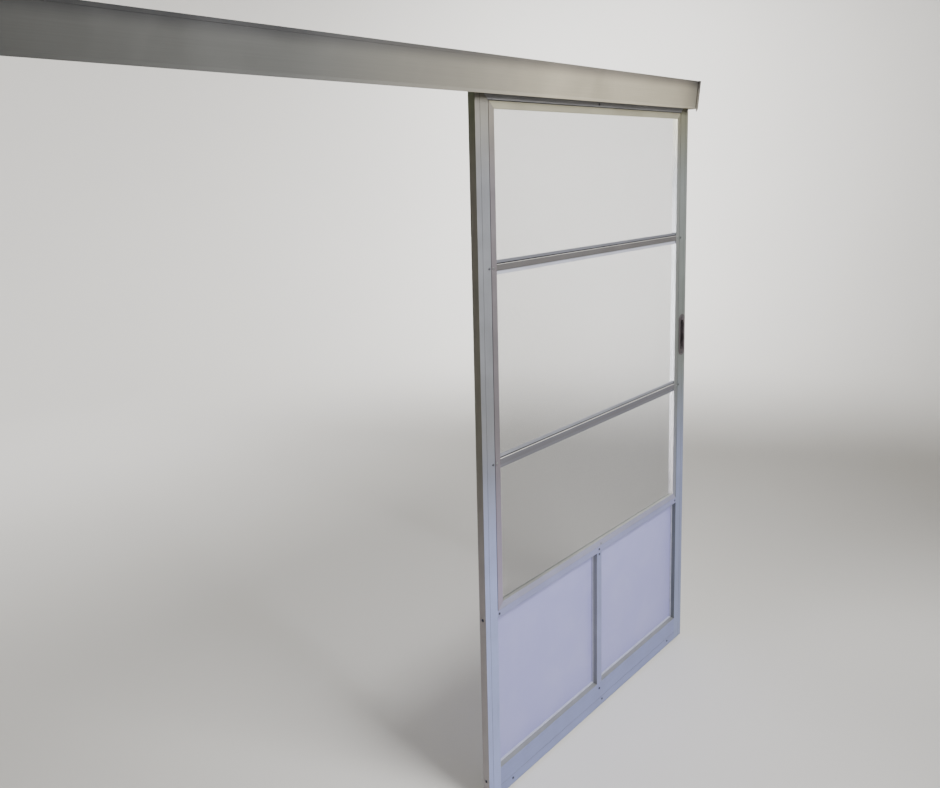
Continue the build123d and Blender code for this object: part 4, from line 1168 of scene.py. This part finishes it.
@dataclass
class Trolleys(Assembly):
    """The two trolleys with their moulded wheels, and the bolts and plates that carry the leaf."""

    tyre_mm: float = 12.0
    width_mm: float = 7.0
    bore_mm: float = 3.05
    race_mm: float = 5.6
    dish_mm: float = 1.1
    groove_mm: float = 0.5
    rim_mm: float = 1.6
    slope_mm: float = 0.5
    lip_mm: float = 0.3
    race_rise_mm: float = 0.8
    crown_mm: float = 0.7
    step_mm: float = 0.02
    seam_mm: float = 0.05
    sides: int = 48
    smooth_angle: float = 40.0

    def wheel(self) -> bpy.types.Object:
        """Model one wheel about +Z: crowned tyre, dished sides, bearing race and bore.

        Returns:
            The wheel.
        """
        deselect_all()
        bpy.ops.mesh.primitive_cylinder_add(
            vertices=self.sides, radius=self.tyre_mm * MM, depth=self.width_mm * MM
        )
        wheel = bpy.context.object
        pick(wheel, "FACE", lambda middle, normal: abs(normal.z) > SQUARE)
        outer = self.groove_mm + self.rim_mm + self.slope_mm
        for inward, outward in (
            (self.groove_mm, -self.step_mm),
            (self.rim_mm, 0.0),
            (self.slope_mm, -self.dish_mm),
            (self.tyre_mm - outer - self.race_mm, 0.0),
            (self.lip_mm, self.race_rise_mm),
            (self.race_mm - self.lip_mm - self.bore_mm, 0.0),
        ):
            bpy.ops.mesh.inset(thickness=inward * MM, depth=outward * MM)
        bpy.ops.mesh.delete(type="FACE")
        bore, rim = (self.bore_mm + 0.01) * MM, (self.tyre_mm - 0.1) * MM
        pick(
            wheel,
            "EDGE",
            lambda a, b: abs(a.z - b.z) < TOUCH and max(a.xy.length, b.xy.length) < bore,
        )
        bpy.ops.mesh.bridge_edge_loops()
        pick(
            wheel,
            "EDGE",
            lambda a, b: abs(a.z - b.z) < TOUCH and min(a.xy.length, b.xy.length) > rim,
        )
        bpy.ops.mesh.bevel(offset=self.crown_mm * MM, segments=3)
        bpy.ops.object.mode_set(mode="OBJECT")
        return wheel

    def build(self) -> None:
        """Copy the wheel to its eight places and dress the trolleys."""
        # Acetal: ivory tyres with a waxy sheen.
        nylon = MouldedPolymer("wheel_nylon", "D2CFC4", "A9A59A", roughness=0.45).material()
        # Bearing steel: a bright ring round each axle.
        race = MillMetal("bearing_race", "A7A8AA", "85868A", roughness=0.25).material()
        master = self.wheel()
        for place in product(("left", "right"), ("lead", "trail"), ("front", "back")):
            place = "_".join(place)
            low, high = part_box(f"wheel_{place}")
            middle = (low + high) / 2
            copy = place_copy(master, tuple(middle), (0.0, -1.0, 0.0))
            wheel = settle(join(f"roller_{place}", [copy]), self.smooth_angle)
            dress(wheel, nylon)
            wheel.data.materials.append(race)
            for face in wheel.data.polygons:
                out = (face.center - middle).xz.length
                face.material_index = int(out < (self.race_mm + self.seam_mm) * MM)
            fit(wheel, f"wheel_{place}", "nylon", f"wheel_{place}")
        bpy.data.objects.remove(master)
        # Zinc plate: bright pressed steel with dull flecks.
        zinc = MillMetal("zinc_trolley", "B4B6B2", "8F928F", patch_mm=7.0)
        carriers = ("trolley_left", "trolley_right", "axles")
        self.dress(zinc, *carriers, "hanger_plates", "hanger_bolts", "hanger_nuts")


@dataclass
class FloorGuide(Assembly):
    """The channel on the floor that keeps the leaf's foot in line, with its two pads."""

    def build(self) -> None:
        """Dress the guide."""
        # Zinc plate: a plain grey channel close to the floor.
        self.dress(MillMetal("guide_zinc", "B0B2AF", "8C8F8C", patch_mm=7.0), "floor_guide")
        # Moulded nylon: two ivory pads.
        self.dress(MouldedPolymer("pad_nylon", "D2CFC4", "A5A196"), "guide_pads")
        log.info("floor guide dressed")


@dataclass
class Studio:
    """A pale floor that curves up into a wall, soft lights, and the photograph's viewing angle."""

    floor_level: float = -2.079
    cove_radius: float = 8.0
    cove_height: float = 6.0
    cove_curve: float = 3.0
    cove_sides: int = 96
    cove_steps: int = 16
    paint_mm: float = 1600.0
    sky: float = 0.25
    camera_place: Point = (-1.3643, -1.3994, -0.2482)
    camera_turn: Point = (82.3604, 1.1567, -45.9270)
    focal_px: float = 747.9
    centre_px: tuple[float, float] = (485.45, 264.5)
    frame_px: tuple[float, float] = (940.0, 788.0)

    def cove(self) -> None:
        """Shape the floor and the round wall as one bowl, open at the top."""
        deselect_all()
        middle = self.floor_level + self.cove_height / 2
        bpy.ops.mesh.primitive_cylinder_add(
            vertices=self.cove_sides,
            radius=self.cove_radius,
            depth=self.cove_height,
            location=(0, 0, middle),
        )
        cove = bpy.context.object
        cove.name = "studio_cove"
        bpy.ops.object.transform_apply()
        pick(cove, "FACE", lambda middle, normal: normal.z > SQUARE)
        bpy.ops.mesh.delete(type="FACE")
        ground = self.floor_level + MM
        pick(cove, "EDGE", lambda a, b: a.z < ground and b.z < ground)
        bpy.ops.mesh.bevel(offset=self.cove_curve, segments=self.cove_steps)
        bpy.ops.mesh.select_all(action="SELECT")
        bpy.ops.mesh.normals_make_consistent(inside=True)
        bpy.ops.object.mode_set(mode="OBJECT")
        bpy.ops.object.shade_smooth_by_angle(angle=math.radians(40))
        # Matt wall paint: pale, warm and almost even.
        surface = Surface("painted_cove")
        tone = surface.pattern(self.paint_mm)
        paint = surface.add("Mix", COLOURS, {"Factor": tone, "A": "E2E0DC", "B": "E8E6E2"})
        dress(cove, surface.finish({"Base Color": paint, "Roughness": 0.8}))

    def lights(self) -> None:
        """Hang the soft lights: a key in front, one behind the leaf and two on the far wall."""
        for name, place, aim, size, power, spread in (
            ("key", (0.55, -2.2, 0.9), (0.3, 0.0, -1.0), 1.2, 47.0, 95.0),
            ("behind", (0.55, 0.9, -0.9), (0.95, 0.0, -0.6), 0.9, 100.0, 100.0),
            ("wall_right", (3.8, 2.4, 1.4), (7.2, 4.6, -1.2), 2.6, 300.0, 165.0),
            ("wall_left", (0.2, 3.2, 1.4), (0.2, 7.6, -1.6), 2.6, 170.0, 165.0),
        ):
            lamp = bpy.data.lights.new(name, "AREA")
            lamp.size = size
            lamp.energy = power
            lamp.spread = math.radians(spread)
            holder = bpy.data.objects.new(name, lamp)
            holder.location = place
            way = Vector(aim) - Vector(place)
            holder.rotation_euler = way.to_track_quat("-Z", "Y").to_euler()
            holder.visible_camera = False
            bpy.context.scene.collection.objects.link(holder)
        world = bpy.data.worlds.new("studio")
        bpy.context.scene.world = world
        world.use_nodes = True
        tree = world.node_tree
        tree.nodes.clear()
        sky = add_node(tree, "Background", sockets={"Color": "F4F2EE", "Strength": self.sky})
        add_node(tree, "OutputWorld", sockets={"Surface": sky})

    def camera(self) -> None:
        """Set the camera where the photograph was taken from."""
        lens = bpy.data.cameras.new("camera")
        width, height = self.frame_px
        lens.sensor_width = 36.0
        lens.lens = self.focal_px / width * lens.sensor_width
        lens.shift_x = (width / 2 - self.centre_px[0]) / width
        lens.shift_y = (self.centre_px[1] - height / 2) / width
        lens.clip_start = 0.01
        lens.clip_end = 100.0
        holder = bpy.data.objects.new("camera", lens)
        holder.location = self.camera_place
        holder.rotation_euler = tuple(math.radians(a) for a in self.camera_turn)
        bpy.context.scene.collection.objects.link(holder)
        bpy.context.scene.camera = holder

    def build(self) -> None:
        """Set up the whole studio."""
        self.cove()
        self.lights()
        self.camera()
        log.info("studio ready")


def main() -> None:
    """Build the studio and every sub-assembly."""
    logging.basicConfig(level=logging.INFO, format="%(name)s: %(message)s")
    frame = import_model()
    nodes = frame["nodes"]
    Studio().build()
    for assembly in (
        Leaf(nodes),
        ScreenInsert(nodes),
        WovenScreen(nodes),
        Fasteners(nodes),
        PullAndLatch(nodes),
        Header(nodes),
        Trolleys(nodes),
        FloorGuide(nodes),
    ):
        assembly.build()
    bpy.context.view_layer.update()


if __name__ == "__main__":
    main()
